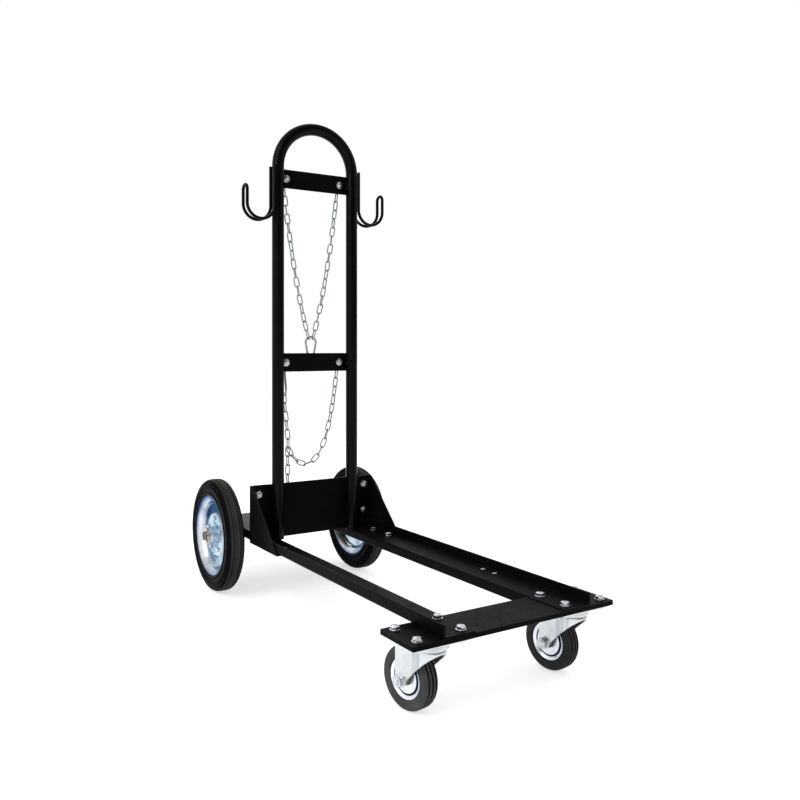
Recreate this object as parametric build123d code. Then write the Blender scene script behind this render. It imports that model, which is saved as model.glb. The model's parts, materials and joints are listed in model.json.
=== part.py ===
from build123d import *
import math
import os

os.makedirs("parts", exist_ok=True)

# All sizes are millimetres. X runs to the right, Y to the back and Z up from the floor.

# Floor frame: a front plate on two casters, and two folded rails that run back from it
FRAME_LENGTH = 995.0
FRAME_WIDTH = 300.0
FRONT_PLATE_OVERHANG = 55.0
FRONT_PLATE_DEPTH = 92.0
FRONT_PLATE_THICKNESS = 8.0
FRONT_PLATE_CORNER = 3.0
SHEET = 3.0
BEND = 1.5
RAIL_WIDTH = 60.0
RAIL_UPSTAND = 21.5
RAIL_LIP = 18.5
LIP_RELIEF = 2.0
SPARE_HOLE_INSET = 15.0
SPARE_HOLE_SETBACK = 230.0
SPARE_HOLE_SPACING = 35.0
PLATFORM_MARGIN = 15.0
PLATFORM_WELD_INSET = 25.0

# Handle hoop, its flat crossbars and the wire cable hooks
HOOP_SETBACK = 704.5
HOOP_SPACING = 188.0
HOOP_TUBE = 26.9
HOOP_WALL = 2.3
HOOP_HEIGHT = 1070.0
CROSSBAR_LENGTH = 196.0
CROSSBAR_HEIGHT = 42.0
CROSSBAR_THICKNESS = 4.0
UPPER_CROSSBAR_DROP = 130.0
MIDDLE_CROSSBAR_Z = 525.0
CROSSBAR_BOLT_SPACING = 137.0
WELD_GAP = 0.2
WELD_LENGTH = 24.0
WELD_LEG = 6.0
HOOK_WIRE = 7.0
HOOK_SPREAD = 23.0
HOOK_BEND = 32.5
HOOK_BELOW_TOP = 108.0
HOOK_DROP = 88.0
HOOK_ARM = 28.5
RIGHT_HOOK_RAISE = 7.0

# Back plate behind the hoop and the folded gussets that tie it to the rails
BACK_PLATE_HEIGHT = 120.0
BACK_PLATE_THICKNESS = 4.0
BACK_BOLT_INSET = 15.0
BACK_BOLT_DROP = 20.0
BACK_BOLT_SPACING = 60.5
GUSSET_REACH = 122.0
GUSSET_FLANGE = 36.0
GUSSET_TOP_WIDTH = 8.0
FOOT_BOLT_INSET = 20.0
FOOT_BOLT_SETBACK = 39.0
FOOT_BOLT_SPACING = 67.0
SEAT_GAP = 0.3

# Rear wheels on stub axles
WHEEL_DIAMETER = 254.0
WHEEL_OFFSET = 33.5
WHEEL_TYRE_WIDTH = 41.0
WHEEL_RIM_DIAMETER = 183.0
WHEEL_SEAT_DIAMETER = 158.0
WHEEL_RIM_SHEET = 2.5
WHEEL_RIM_FLANK = 10.0
WHEEL_BOSS_INNER = 56.0
WHEEL_BOSS_OUTER = 96.0
WHEEL_BOSS_HEIGHT = 6.5
WHEEL_HUB_DIAMETER = 38.0
WHEEL_HUB_LENGTH = 44.0
WHEEL_BEARING_DIAMETER = 28.0
RIM_BOLT_COUNT = 5
AXLE_SETBACK = 139.0
AXLE_DIAMETER = 20.0
AXLE_COLLAR_DIAMETER = 32.0
AXLE_WASHER_DIAMETER = 36.0
AXLE_WASHER_THICKNESS = 2.5
AXLE_END = 5.0
AXLE_BRACKET_THICKNESS = 5.0
AXLE_BRACKET_LENGTH = 76.0
AXLE_BRACKET_DROP = 24.0
AXLE_BOLT_SPACING = 52.0
AXLE_BOLT_DROP = 7.5
SPLIT_PIN = 3.6
SPLIT_PIN_LENGTH = 32.0

# Swivel casters under the front plate
CASTER_INSET = 2.5
CASTER_PLATE_WIDTH = 105.0
CASTER_PLATE_DEPTH = 85.0
CASTER_PLATE_THICKNESS = 3.0
CASTER_HOLES_X = 80.0
CASTER_HOLES_Y = 60.0
CASTER_DIAMETER = 100.0
CASTER_TRAIL = 38.0
CASTER_TYRE_WIDTH = 29.0
CASTER_RIM_DIAMETER = 65.0
CASTER_SEAT_DIAMETER = 55.0
CASTER_RIM_SHEET = 2.0
CASTER_RIM_FLANK = 3.0
CASTER_BOSS_INNER = 30.0
CASTER_BOSS_OUTER = 40.0
CASTER_BOSS_HEIGHT = 7.0
CASTER_BUSH_DIAMETER = 18.0
CASTER_AXLE_DIAMETER = 10.0
CASTER_AXLE_HEX = 17.0
CASTER_AXLE_HEAD = 6.4
CASTER_AXLE_NUT = 8.0
FORK_SHEET = 2.5
FORK_INSIDE = 40.0
FORK_DROP = 15.0
FORK_CLEARANCE = 4.5
FORK_FRONT = 31.0
FORK_NOSE = 5.0
FORK_HOLLOW = 1.5
FORK_END = 11.0
FORK_BEND = 4.0
FORK_RIB_START = -2.5
FORK_RIB_WIDTH = 13.0
FORK_RIB_HEIGHT = 1.8
KINGPIN_DIAMETER = 12.0
KINGPIN_HEAD_DIAMETER = 22.0
KINGPIN_HEAD = 8.0
RACE_DIAMETER = 66.0
RACE_WALL = 3.0
BALL_DIAMETER = 7.0
BALL_CIRCLE = 48.0
BALL_COUNT = 14
LEFT_CASTER_TURN = 10.0
RIGHT_CASTER_TURN = 8.0

# Tyre tread and side wall, and the radial play of everything that turns on a pin
TREAD_GROOVE = 2.4
TREAD_GROOVE_DEPTH = 2.0
TREAD_PITCH = 8.0
SIDE_RING = 3.0
SIDE_RING_DEPTH = 1.2
RUNNING_PLAY = 0.05

# Hexagon bolts: the large ones hold the frame, the small ones the chain ends and the rims
BOLT = 8.0
BOLT_HEX = 13.0
BOLT_HEAD = 5.3
BOLT_NUT = 4.0
BOLT_HOLE = 9.0
BOLT_TAIL = 1.0
WASHER_DIAMETER = 17.0
WASHER_THICKNESS = 1.6
SMALL_BOLT = 6.0
SMALL_HEX = 10.0
SMALL_HEAD = 4.0
SMALL_NUT = 5.0
SMALL_HOLE = 6.6
SMALL_WASHER_DIAMETER = 17.0
SMALL_WASHER_THICKNESS = 1.4
HEX_CHAMFER = 0.7
THREAD_PLAY = 0.05

# Safety chains and their snap hooks
LINK_WIRE = 3.0
LINK_INSIDE = 21.2
LINK_GAP = 7.0
LINK_PLAY = 0.6
UPPER_STRAND_LINKS = 17
UPPER_STRAND_SPREAD = 10.0
UPPER_STRAND_TWIST = 180.0
UPPER_STRAND_SLACK = 0.4
LOWER_STRAND_LINKS = 5
LOWER_STRAND_LEAN = 11.0
SWAG_LINKS = 15
TAIL_LINKS = 5
SNAP_WIRE = 5.0
SNAP_WIDE = 13.0
SNAP_NARROW = 4.8
SNAP_REACH = 42.0
SNAP_PIN = 2.5
SNAP_SLOT = 2.6
SNAP_TONGUE = 2.0
SNAP_END = 3.0
SNAP_GATE = 4.5
SNAP_GATE_GAP = 0.5

# Places that follow from the sizes above
FRONT_Y = -FRAME_LENGTH / 2
REAR_Y = FRAME_LENGTH / 2
HOOP_Y = FRONT_Y + HOOP_SETBACK
AXLE_Y = HOOP_Y + AXLE_SETBACK
FRONT_PLATE_WIDTH = FRAME_WIDTH + 2 * FRONT_PLATE_OVERHANG
PLATFORM_WIDTH = FRAME_WIDTH - 2 * PLATFORM_MARGIN
UPPER_CROSSBAR_Z = HOOP_HEIGHT - UPPER_CROSSBAR_DROP
HOOK_TOP = HOOP_HEIGHT - HOOK_BELOW_TOP
CASTER_SPACING = FRAME_WIDTH - 2 * CASTER_INSET
CASTER_HEIGHT = CASTER_DIAMETER + FORK_CLEARANCE + FORK_SHEET + FORK_DROP
CASTER_Y = FRONT_Y + FRONT_PLATE_DEPTH / 2
RAIL_X = FRAME_WIDTH / 2
RAIL_Z = CASTER_HEIGHT + FRONT_PLATE_THICKNESS
SHELF_Z = RAIL_Z + SHEET
UPSTAND_Z = RAIL_Z + RAIL_UPSTAND
TUBE_RADIUS = HOOP_TUBE / 2
BACK_FACE_Y = HOOP_Y + TUBE_RADIUS + WELD_GAP
BACK_PLATE_Z = SHELF_Z + BACK_PLATE_HEIGHT
BACK_REAR_Y = BACK_FACE_Y + BACK_PLATE_THICKNESS
FLANGE_REAR_Y = BACK_REAR_Y + SHEET
CROSSBAR_REAR_Y = BACK_FACE_Y + CROSSBAR_THICKNESS
CHAIN_Y = CROSSBAR_REAR_Y + SMALL_NUT + SMALL_WASHER_THICKNESS + LINK_WIRE / 2 + LINK_PLAY / 2
WHEEL_X = RAIL_X + WHEEL_OFFSET
AXLE_Z = WHEEL_DIAMETER / 2
PITCH = LINK_INSIDE - LINK_PLAY
SIDES = (("left", -1), ("right", 1))


# Shared helpers

def block(low, high):
    """A box between two opposite corners."""
    size = [b - a for a, b in zip(low, high)]
    middle = [(a + b) / 2 for a, b in zip(low, high)]
    return Pos(*middle) * Box(*size)


def rod(start, end, radius):
    """A round bar between two points."""
    run = Vector(*end) - Vector(*start)
    seat = Plane(origin=start, z_dir=run)
    return seat * Cylinder(radius, run.length, align=(Align.CENTER, Align.CENTER, Align.MIN))


def ring(start, end, outer, inner):
    """A round tube between two points."""
    return rod(start, end, outer) - rod(start, end, inner)


def drilled(part, spots, axis, diameter, depth):
    """The part with a round hole at each spot, running depth to both sides of it along the axis."""
    way = Vector(*axis) * depth
    for spot in spots:
        middle = Vector(*spot)
        part -= rod(middle - way, middle + way, diameter / 2)
    return part


def rounded(face, spots, radius):
    """The flat face with the corners nearest to the given spots rounded."""
    corners = [face.vertices().sort_by_distance((*spot, 0))[0] for spot in spots]
    return fillet(corners, radius)


def bent_wire(edges, diameter):
    """Round wire along a run of tangent edges."""
    path = Wire(edges)
    seat = Plane(origin=path.position_at(0), z_dir=path.tangent_at(0))
    return sweep(seat * Circle(diameter / 2), path=path)


def turned(points):
    """A body of revolution about X from (x, radius) points."""
    return revolve(make_face(Polyline(*points, close=True)), axis=Axis.X)


def mirrored(part):
    """The same part on the other side of the middle plane."""
    return mirror(part, about=Plane.YZ)


def write(node, *solids):
    """Writes the solids of one node."""
    body = solids[0] if len(solids) == 1 else Compound(list(solids))
    export_step(body, f"parts/{node}.step")


def write_pair(name, part):
    """Writes a right-hand part and its left-hand mirror image."""
    write(f"right_{name}", part)
    write(f"left_{name}", mirrored(part))


# Hexagon bolts, in a frame whose Z axis runs from the head into the work

def hexagon(across, height):
    """A hexagon prism that stands on the XY plane, its free rim chamfered."""
    prism = extrude(RegularPolygon(across / 2, 6, major_radius=False), height)
    return chamfer(prism.faces().sort_by(Axis.Z)[-1].edges(), HEX_CHAMFER)


def bolt(diameter, across, head, length):
    """A bolt with the underside of its head on the XY plane."""
    shank = Cylinder(diameter / 2, length, align=(Align.CENTER, Align.CENTER, Align.MIN))
    return shank + Rot(180, 0, 0) * hexagon(across, head)


def nut(diameter, across, height):
    """A nut that stands on the XY plane."""
    bore = Cylinder(diameter / 2 + THREAD_PLAY, 3 * height)
    return hexagon(across, height) - bore


def washer(outer, hole, thickness):
    """A washer that stands on the XY plane."""
    return extrude(Circle(outer / 2) - Circle(hole / 2), thickness)


def bolted(spots, into, grip):
    """Large bolts, washers and nuts: heads on the spots, nuts past the clamped thickness."""
    length = WASHER_THICKNESS + grip + BOLT_NUT + BOLT_TAIL
    seats = [Plane(origin=spot, z_dir=into).location for spot in spots]
    bolts = [seat * Pos(0, 0, -WASHER_THICKNESS) * bolt(BOLT, BOLT_HEX, BOLT_HEAD, length) for seat in seats]
    plain = washer(WASHER_DIAMETER, BOLT + 2 * THREAD_PLAY, WASHER_THICKNESS)
    washers = [seat * Pos(0, 0, -WASHER_THICKNESS) * plain for seat in seats]
    nuts = [seat * Pos(0, 0, grip) * nut(BOLT, BOLT_HEX, BOLT_NUT) for seat in seats]
    return bolts, washers, nuts


# Floor frame

def caster_spots(side, z):
    """The four caster bolts of one side, the two that pass through the rail first."""
    x = side * CASTER_SPACING / 2
    near = x - side * CASTER_HOLES_X / 2
    far = x + side * CASTER_HOLES_X / 2
    rows = (CASTER_Y - CASTER_HOLES_Y / 2, CASTER_Y + CASTER_HOLES_Y / 2)
    return [(near, y, z) for y in rows] + [(far, y, z) for y in rows]


def foot_spots(side, z):
    """The two bolts that hold a gusset's foot to the rail shelf."""
    x = side * (RAIL_X - FOOT_BOLT_INSET)
    rows = (HOOP_Y - FOOT_BOLT_SETBACK, HOOP_Y - FOOT_BOLT_SETBACK - FOOT_BOLT_SPACING)
    return [(x, y, z) for y in rows]


def back_spots(side, y):
    """The two bolts that hold a gusset's flange to the back plate."""
    x = side * (RAIL_X - BACK_BOLT_INSET)
    top = BACK_PLATE_Z - BACK_BOLT_DROP
    return [(x, y, top), (x, y, top - BACK_BOLT_SPACING)]


def axle_spots(side, x):
    """The two bolts that hold an axle bracket to the rail's upstand."""
    z = UPSTAND_Z - AXLE_BOLT_DROP
    return [(side * x, AXLE_Y + way * AXLE_BOLT_SPACING / 2, z) for way in (-1, 1)]


def front_plate():
    """The flat plate across the front that carries both casters."""
    low = (-FRONT_PLATE_WIDTH / 2, FRONT_Y, CASTER_HEIGHT)
    high = (FRONT_PLATE_WIDTH / 2, FRONT_Y + FRONT_PLATE_DEPTH, RAIL_Z)
    plate = block(low, high)
    plate = fillet(plate.edges().filter_by(Axis.Z), FRONT_PLATE_CORNER)
    for name, side in SIDES:
        plate = drilled(plate, caster_spots(side, RAIL_Z), (0, 0, 1), BOLT_HOLE, FRONT_PLATE_THICKNESS * 2)
    return plate


def rail():
    """The right rail: a shelf with an upstand outside and a lip bent down inside."""
    inner = RAIL_X - RAIL_WIDTH
    lip = SHELF_Z - RAIL_LIP
    outline = [
        (RAIL_X, RAIL_Z), (RAIL_X, UPSTAND_Z), (RAIL_X - SHEET, UPSTAND_Z), (RAIL_X - SHEET, SHELF_Z),
        (inner, SHELF_Z), (inner, lip), (inner + SHEET, lip), (inner + SHEET, RAIL_Z),
    ]
    section = make_face(Polyline(*outline, close=True))
    section = rounded(section, [outline[0], outline[4]], BEND + SHEET)
    section = rounded(section, [outline[3], outline[7]], BEND)
    seat = Plane(origin=(0, REAR_Y, 0), x_dir=(1, 0, 0), z_dir=(0, -1, 0))
    body = extrude(seat * section, FRAME_LENGTH)
    relief = FRONT_Y + FRONT_PLATE_DEPTH + LIP_RELIEF
    body -= block((inner - SHEET, FRONT_Y - SHEET, lip - SHEET), (inner + RAIL_WIDTH / 2, relief, RAIL_Z))
    spare_y = FRONT_Y + SPARE_HOLE_SETBACK
    spare = [(RAIL_X - SPARE_HOLE_INSET, spare_y + step * SPARE_HOLE_SPACING, SHELF_Z) for step in (0, 1)]
    upright = caster_spots(1, SHELF_Z)[:2] + foot_spots(1, SHELF_Z) + spare
    body = drilled(body, upright, (0, 0, 1), BOLT_HOLE, SHEET * 2)
    return drilled(body, axle_spots(1, RAIL_X), (1, 0, 0), BOLT_HOLE, SHEET * 2)


def cylinder_platform():
    """The flat floor behind the back plate for gas cylinders."""
    low = (-PLATFORM_WIDTH / 2, FLANGE_REAR_Y + SEAT_GAP, SHELF_Z)
    return block(low, (PLATFORM_WIDTH / 2, REAR_Y, SHELF_Z + SHEET))


def back_plate():
    """The upright plate behind the hoop legs, notched over the rail upstands."""
    plate = block((-RAIL_X, BACK_FACE_Y, SHELF_Z), (RAIL_X, BACK_REAR_Y, BACK_PLATE_Z))
    for name, side in SIDES:
        edge = side * (RAIL_X - SHEET - BEND - SEAT_GAP)
        beyond = side * (RAIL_X + SHEET)
        low = (min(edge, beyond), BACK_FACE_Y - SHEET, SHELF_Z - SHEET)
        high = (max(edge, beyond), BACK_REAR_Y + SHEET, UPSTAND_Z + SEAT_GAP)
        plate -= block(low, high)
        plate = drilled(plate, back_spots(side, BACK_REAR_Y), (0, 1, 0), BOLT_HOLE, BACK_PLATE_THICKNESS * 2)
    return plate


def gusset():
    """The right gusset: a triangular web outside the rail, folded behind the plate and under the shelf."""
    foot_z = RAIL_Z - SHEET
    top_y = BACK_FACE_Y - GUSSET_TOP_WIDTH
    toe_y = HOOP_Y - GUSSET_REACH
    outline = [
        (FLANGE_REAR_Y, foot_z), (FLANGE_REAR_Y, BACK_PLATE_Z), (top_y, BACK_PLATE_Z),
        (toe_y, RAIL_Z), (toe_y, foot_z),
    ]
    seat = Plane(origin=(RAIL_X, 0, 0), x_dir=(0, 1, 0), z_dir=(1, 0, 0))
    web = extrude(seat * make_face(Polyline(*outline, close=True)), SHEET)
    flange_x = RAIL_X - GUSSET_FLANGE
    flange = block((flange_x, BACK_REAR_Y, UPSTAND_Z + SHEET), (RAIL_X, FLANGE_REAR_Y, BACK_PLATE_Z))
    foot = block((flange_x, toe_y, foot_z), (RAIL_X, BACK_REAR_Y, RAIL_Z))
    body = web + flange + foot
    body = drilled(body, back_spots(1, FLANGE_REAR_Y), (0, 1, 0), BOLT_HOLE, SHEET * 2)
    return drilled(body, foot_spots(1, RAIL_Z), (0, 0, 1), BOLT_HOLE, SHEET * 2)


# Handle hoop

def handle_hoop():
    """The bent tube: two legs and a half-round top."""
    reach = HOOP_SPACING / 2
    bend_z = HOOP_HEIGHT - TUBE_RADIUS - reach
    left = Line((-reach, HOOP_Y, SHELF_Z), (-reach, HOOP_Y, bend_z))
    top = ThreePointArc((-reach, HOOP_Y, bend_z), (0, HOOP_Y, bend_z + reach), (reach, HOOP_Y, bend_z))
    right = Line((reach, HOOP_Y, bend_z), (reach, HOOP_Y, SHELF_Z))
    section = Circle(TUBE_RADIUS) - Circle(TUBE_RADIUS - HOOP_WALL)
    seat = Plane(origin=(-reach, HOOP_Y, SHELF_Z), z_dir=(0, 0, 1))
    return sweep(seat * section, path=Wire([left, top, right]))


def bar_spots(z, y):
    """The two chain bolts of a crossbar."""
    return [(side * CROSSBAR_BOLT_SPACING / 2, y, z) for name, side in SIDES]


def crossbar(z):
    """A flat bar behind the hoop legs."""
    low = (-CROSSBAR_LENGTH / 2, BACK_FACE_Y, z - CROSSBAR_HEIGHT / 2)
    bar = block(low, (CROSSBAR_LENGTH / 2, CROSSBAR_REAR_Y, z + CROSSBAR_HEIGHT / 2))
    return drilled(bar, bar_spots(z, BACK_FACE_Y), (0, 1, 0), SMALL_HOLE, CROSSBAR_THICKNESS * 2)


def cable_hook(top):
    """A right cable hook: one wire bent into two side-by-side J shapes that share a round tip."""
    half = HOOK_SPREAD / 2
    seat = TUBE_RADIUS + HOOK_WIRE / 2 + WELD_GAP
    leg_x = HOOP_SPACING / 2 + math.sqrt(seat ** 2 - half ** 2)
    arm_x = leg_x + 2 * HOOK_BEND
    bend_z = top - HOOK_DROP
    tip_z = bend_z + HOOK_ARM

    def jay(y):
        low = ((leg_x + arm_x) / 2, y, bend_z - HOOK_BEND)
        down = Line((leg_x, y, top), (leg_x, y, bend_z))
        bend = ThreePointArc((leg_x, y, bend_z), low, (arm_x, y, bend_z))
        up = Line((arm_x, y, bend_z), (arm_x, y, tip_z))
        return [down, bend, up]

    front, back = HOOP_Y - half, HOOP_Y + half
    tip = ThreePointArc((arm_x, front, tip_z), (arm_x, HOOP_Y, tip_z + half), (arm_x, back, tip_z))
    return bent_wire(jay(front) + [tip] + jay(back), HOOK_WIRE)


def platform_beads():
    """Fillet welds on the rail shelves, along the side edges of the cylinder platform."""
    beads = []
    for name, side in SIDES:
        edge = side * PLATFORM_WIDTH / 2
        spots = [(edge, SHELF_Z), (edge + side * SHEET, SHELF_Z), (edge, SHELF_Z + SHEET)]
        corner = make_face(Polyline(*spots, close=True))
        for y in (FLANGE_REAR_Y + PLATFORM_WELD_INSET, REAR_Y - PLATFORM_WELD_INSET):
            seat = Plane(origin=(0, y + WELD_LENGTH / 2, 0), x_dir=(1, 0, 0), z_dir=(0, -1, 0))
            beads.append(extrude(seat * corner, WELD_LENGTH))
    return beads


def hoop_beads():
    """Fillet welds in the corners between the hoop legs and the flat parts behind them."""
    inside, both = (-1,), (-1, 1)
    runs = [(UPPER_CROSSBAR_Z, inside), (MIDDLE_CROSSBAR_Z, inside),
            (BACK_PLATE_Z - WELD_LENGTH, both), (SHELF_Z + WELD_LENGTH, both)]
    beads = []
    for name, leg in SIDES:
        leg_x = leg * HOOP_SPACING / 2
        tube = rod((leg_x, HOOP_Y, SHELF_Z), (leg_x, HOOP_Y, HOOP_HEIGHT), TUBE_RADIUS)
        for z, ways in runs:
            for way in ways:
                near = leg_x + leg * way * WELD_LEG
                far = leg_x + leg * way * (WELD_LEG + WELD_LEG * 2 / 3)
                low = (min(near, far), BACK_FACE_Y - WELD_LEG, z - WELD_LENGTH / 2)
                high = (max(near, far), BACK_FACE_Y, z + WELD_LENGTH / 2)
                beads.append(block(low, high) - tube)
    return beads


# Rolling parts, in a frame whose X axis is the axle

def rim_profile(sheet, flank, width):
    """How far out the tyre seat and the lip of a rim lie from its middle plane."""
    lip_x = width / 2 - sheet
    return lip_x - flank, lip_x


def rim_half(hub, boss_inner, boss_outer, boss_height, seat, lip, sheet, flank, width):
    """One pressed half of a rim on the +X side: a raised ring round the hub, a tyre seat and a lip."""
    seat_x, lip_x = rim_profile(sheet, flank, width)
    slope = boss_height - sheet
    floor = seat - 2 * sheet
    return turned([
        (0, hub), (sheet, hub), (sheet, boss_inner - slope), (boss_height, boss_inner),
        (boss_height, boss_outer), (sheet, boss_outer + slope), (sheet, floor - sheet),
        (2 * sheet, floor), (seat_x + sheet, seat - sheet), (lip_x, lip - sheet), (lip_x, lip),
        (lip_x - sheet, lip), (seat_x, seat), (0, seat),
    ])


def tyre(outer, seat, lip, sheet, flank, width):
    """A solid tyre that fills the rim, with a ribbed tread and a ring pressed into each side."""
    seat_x, lip_x = rim_profile(sheet, flank, width)
    side = width / 2
    depth = outer - lip
    half = [
        (seat_x, seat), (lip_x - sheet, lip), (lip_x, lip), (side, lip + depth / 8),
        (side, outer - depth / 3), (side - depth / 9, outer - depth / 9), (side - depth / 3, outer),
    ]
    body = turned(half + [(-x, radius) for x, radius in reversed(half)])
    ribs = int((width / 2 - depth / 3) / TREAD_PITCH)
    for rib in range(-ribs, ribs + 1):
        low = rib * TREAD_PITCH - TREAD_GROOVE / 2
        high = low + TREAD_GROOVE
        body -= ring((low, 0, 0), (high, 0, 0), outer + TREAD_GROOVE, outer - TREAD_GROOVE_DEPTH)
    ring_radius = lip + depth / 3
    for way in (-1, 1):
        low = way * (side - SIDE_RING_DEPTH)
        body -= ring((low, 0, 0), (way * side * 2, 0, 0), ring_radius + SIDE_RING, ring_radius)
    return body


# Rear wheels

def rear_rim():
    """The outer half of a rear wheel's rim, with its bolt holes."""
    half = rim_half(WHEEL_HUB_DIAMETER / 2, WHEEL_BOSS_INNER / 2, WHEEL_BOSS_OUTER / 2, WHEEL_BOSS_HEIGHT,
                    WHEEL_SEAT_DIAMETER / 2, WHEEL_RIM_DIAMETER / 2, WHEEL_RIM_SHEET, WHEEL_RIM_FLANK,
                    WHEEL_TYRE_WIDTH)
    return drilled(half, rim_spots(), (1, 0, 0), SMALL_HOLE, WHEEL_TYRE_WIDTH)


def rim_spots():
    """The bolts that hold the two rim halves together."""
    radius = (WHEEL_BOSS_INNER + WHEEL_BOSS_OUTER) / 4
    turns = [2 * math.pi * step / RIM_BOLT_COUNT for step in range(RIM_BOLT_COUNT)]
    return [(WHEEL_BOSS_HEIGHT, radius * math.sin(turn), radius * math.cos(turn)) for turn in turns]


def rim_bolts():
    """Small bolts through both rim halves, each with its nut."""
    grip = 2 * WHEEL_BOSS_HEIGHT
    screw = bolt(SMALL_BOLT, SMALL_HEX, SMALL_HEAD, grip + SMALL_NUT + HEX_CHAMFER)
    cap = Pos(0, 0, grip) * nut(SMALL_BOLT, SMALL_HEX, SMALL_NUT)
    seats = [Plane(origin=spot, z_dir=(-1, 0, 0)).location for spot in rim_spots()]
    return [seat * piece for seat in seats for piece in (screw, cap)]


def hub_tube():
    """The tube that runs through the middle of a rear wheel."""
    half = WHEEL_HUB_LENGTH / 2
    return ring((-half, 0, 0), (half, 0, 0), WHEEL_HUB_DIAMETER / 2, WHEEL_BEARING_DIAMETER / 2)


def hub_bearing():
    """The plain bearing that runs on the stub axle."""
    half = WHEEL_HUB_LENGTH / 2
    return ring((-half, 0, 0), (half, 0, 0), WHEEL_BEARING_DIAMETER / 2, AXLE_DIAMETER / 2 + RUNNING_PLAY)


def axle_stations():
    """Distances from the middle plane: collar end, hub ends, outer washer's far face, split pin, axle end."""
    hub_in = WHEEL_X - WHEEL_HUB_LENGTH / 2
    hub_out = WHEEL_X + WHEEL_HUB_LENGTH / 2
    collar = hub_in - SEAT_GAP - AXLE_WASHER_THICKNESS
    washer_end = hub_out + SEAT_GAP + AXLE_WASHER_THICKNESS
    pin = washer_end + SEAT_GAP + SPLIT_PIN / 2
    return collar, hub_in, hub_out, washer_end, pin, pin + AXLE_END


def stub_axle():
    """The right stub axle: a round pin with a collar, drilled for its split pin."""
    collar, hub_in, hub_out, washer_end, pin, end = axle_stations()
    bracket = RAIL_X + AXLE_BRACKET_THICKNESS
    body = rod((RAIL_X, AXLE_Y, AXLE_Z), (end, AXLE_Y, AXLE_Z), AXLE_DIAMETER / 2)
    body += rod((bracket, AXLE_Y, AXLE_Z), (collar, AXLE_Y, AXLE_Z), AXLE_COLLAR_DIAMETER / 2)
    return drilled(body, [(pin, AXLE_Y, AXLE_Z)], (0, 0, 1), SPLIT_PIN + 2 * THREAD_PLAY, AXLE_DIAMETER)


def axle_bracket():
    """The right axle bracket: a plate bolted outside the rail's upstand."""
    low = (RAIL_X, AXLE_Y - AXLE_BRACKET_LENGTH / 2, AXLE_Z - AXLE_BRACKET_DROP)
    plate = block(low, (RAIL_X + AXLE_BRACKET_THICKNESS, AXLE_Y + AXLE_BRACKET_LENGTH / 2, UPSTAND_Z))
    plate = drilled(plate, axle_spots(1, RAIL_X), (1, 0, 0), BOLT_HOLE, AXLE_BRACKET_THICKNESS * 2)
    return drilled(plate, [(RAIL_X, AXLE_Y, AXLE_Z)], (1, 0, 0), AXLE_DIAMETER, AXLE_BRACKET_THICKNESS * 2)


def axle_washers():
    """The right-hand washers at both ends of the hub."""
    collar, hub_in, hub_out, washer_end, pin, end = axle_stations()
    bore = AXLE_DIAMETER / 2 + THREAD_PLAY
    starts = (collar, washer_end - AXLE_WASHER_THICKNESS)
    spans = [((x, AXLE_Y, AXLE_Z), (x + AXLE_WASHER_THICKNESS, AXLE_Y, AXLE_Z)) for x in starts]
    return [ring(start, end, AXLE_WASHER_DIAMETER / 2, bore) for start, end in spans]


def split_pin():
    """The right split pin: a straight shank through the axle and a round eye on top."""
    x = axle_stations()[4]
    top = AXLE_Z + SPLIT_PIN_LENGTH / 2
    shank = rod((x, AXLE_Y, AXLE_Z - SPLIT_PIN_LENGTH / 2), (x, AXLE_Y, top), SPLIT_PIN / 2)
    eye = Pos(x, AXLE_Y, top + SPLIT_PIN) * Rot(0, 90, 0) * Torus(SPLIT_PIN, SPLIT_PIN / 3)
    return shank + eye


# Casters, in a frame with the swivel axis on Z and the wheel trailing towards +Y

def fork_outline():
    """The side view of a fork: level on top, upright behind, round under the axle, hollow in front."""
    axle_z = CASTER_DIAMETER / 2
    top = CASTER_HEIGHT - FORK_DROP
    rear = CASTER_TRAIL + FORK_END
    toe = Vector(CASTER_TRAIL - FORK_END, axle_z)
    nose = Vector(-FORK_FRONT, top - FORK_NOSE)
    run = nose - toe
    inward = Vector(run.Y, -run.X).normalized()
    level = Line((-FORK_FRONT, top), (rear, top))
    back = Line((rear, top), (rear, axle_z))
    end = ThreePointArc((rear, axle_z), (CASTER_TRAIL, axle_z - FORK_END), toe)
    hollow = ThreePointArc(toe, (toe + nose) / 2 + inward * FORK_HOLLOW, nose)
    upright = Line(nose, (-FORK_FRONT, top))
    return make_face(Wire([level, back, end, hollow, upright]))


def fork_plan(half_width, rear, height):
    """A block as high as given with a half-round front, as a fork is seen from above."""
    turn_y = FORK_INSIDE / 2 + FORK_SHEET - FORK_FRONT
    bar = block((-half_width, turn_y, 0), (half_width, rear, height))
    return bar + rod((0, turn_y, 0), (0, turn_y, height), half_width)


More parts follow.
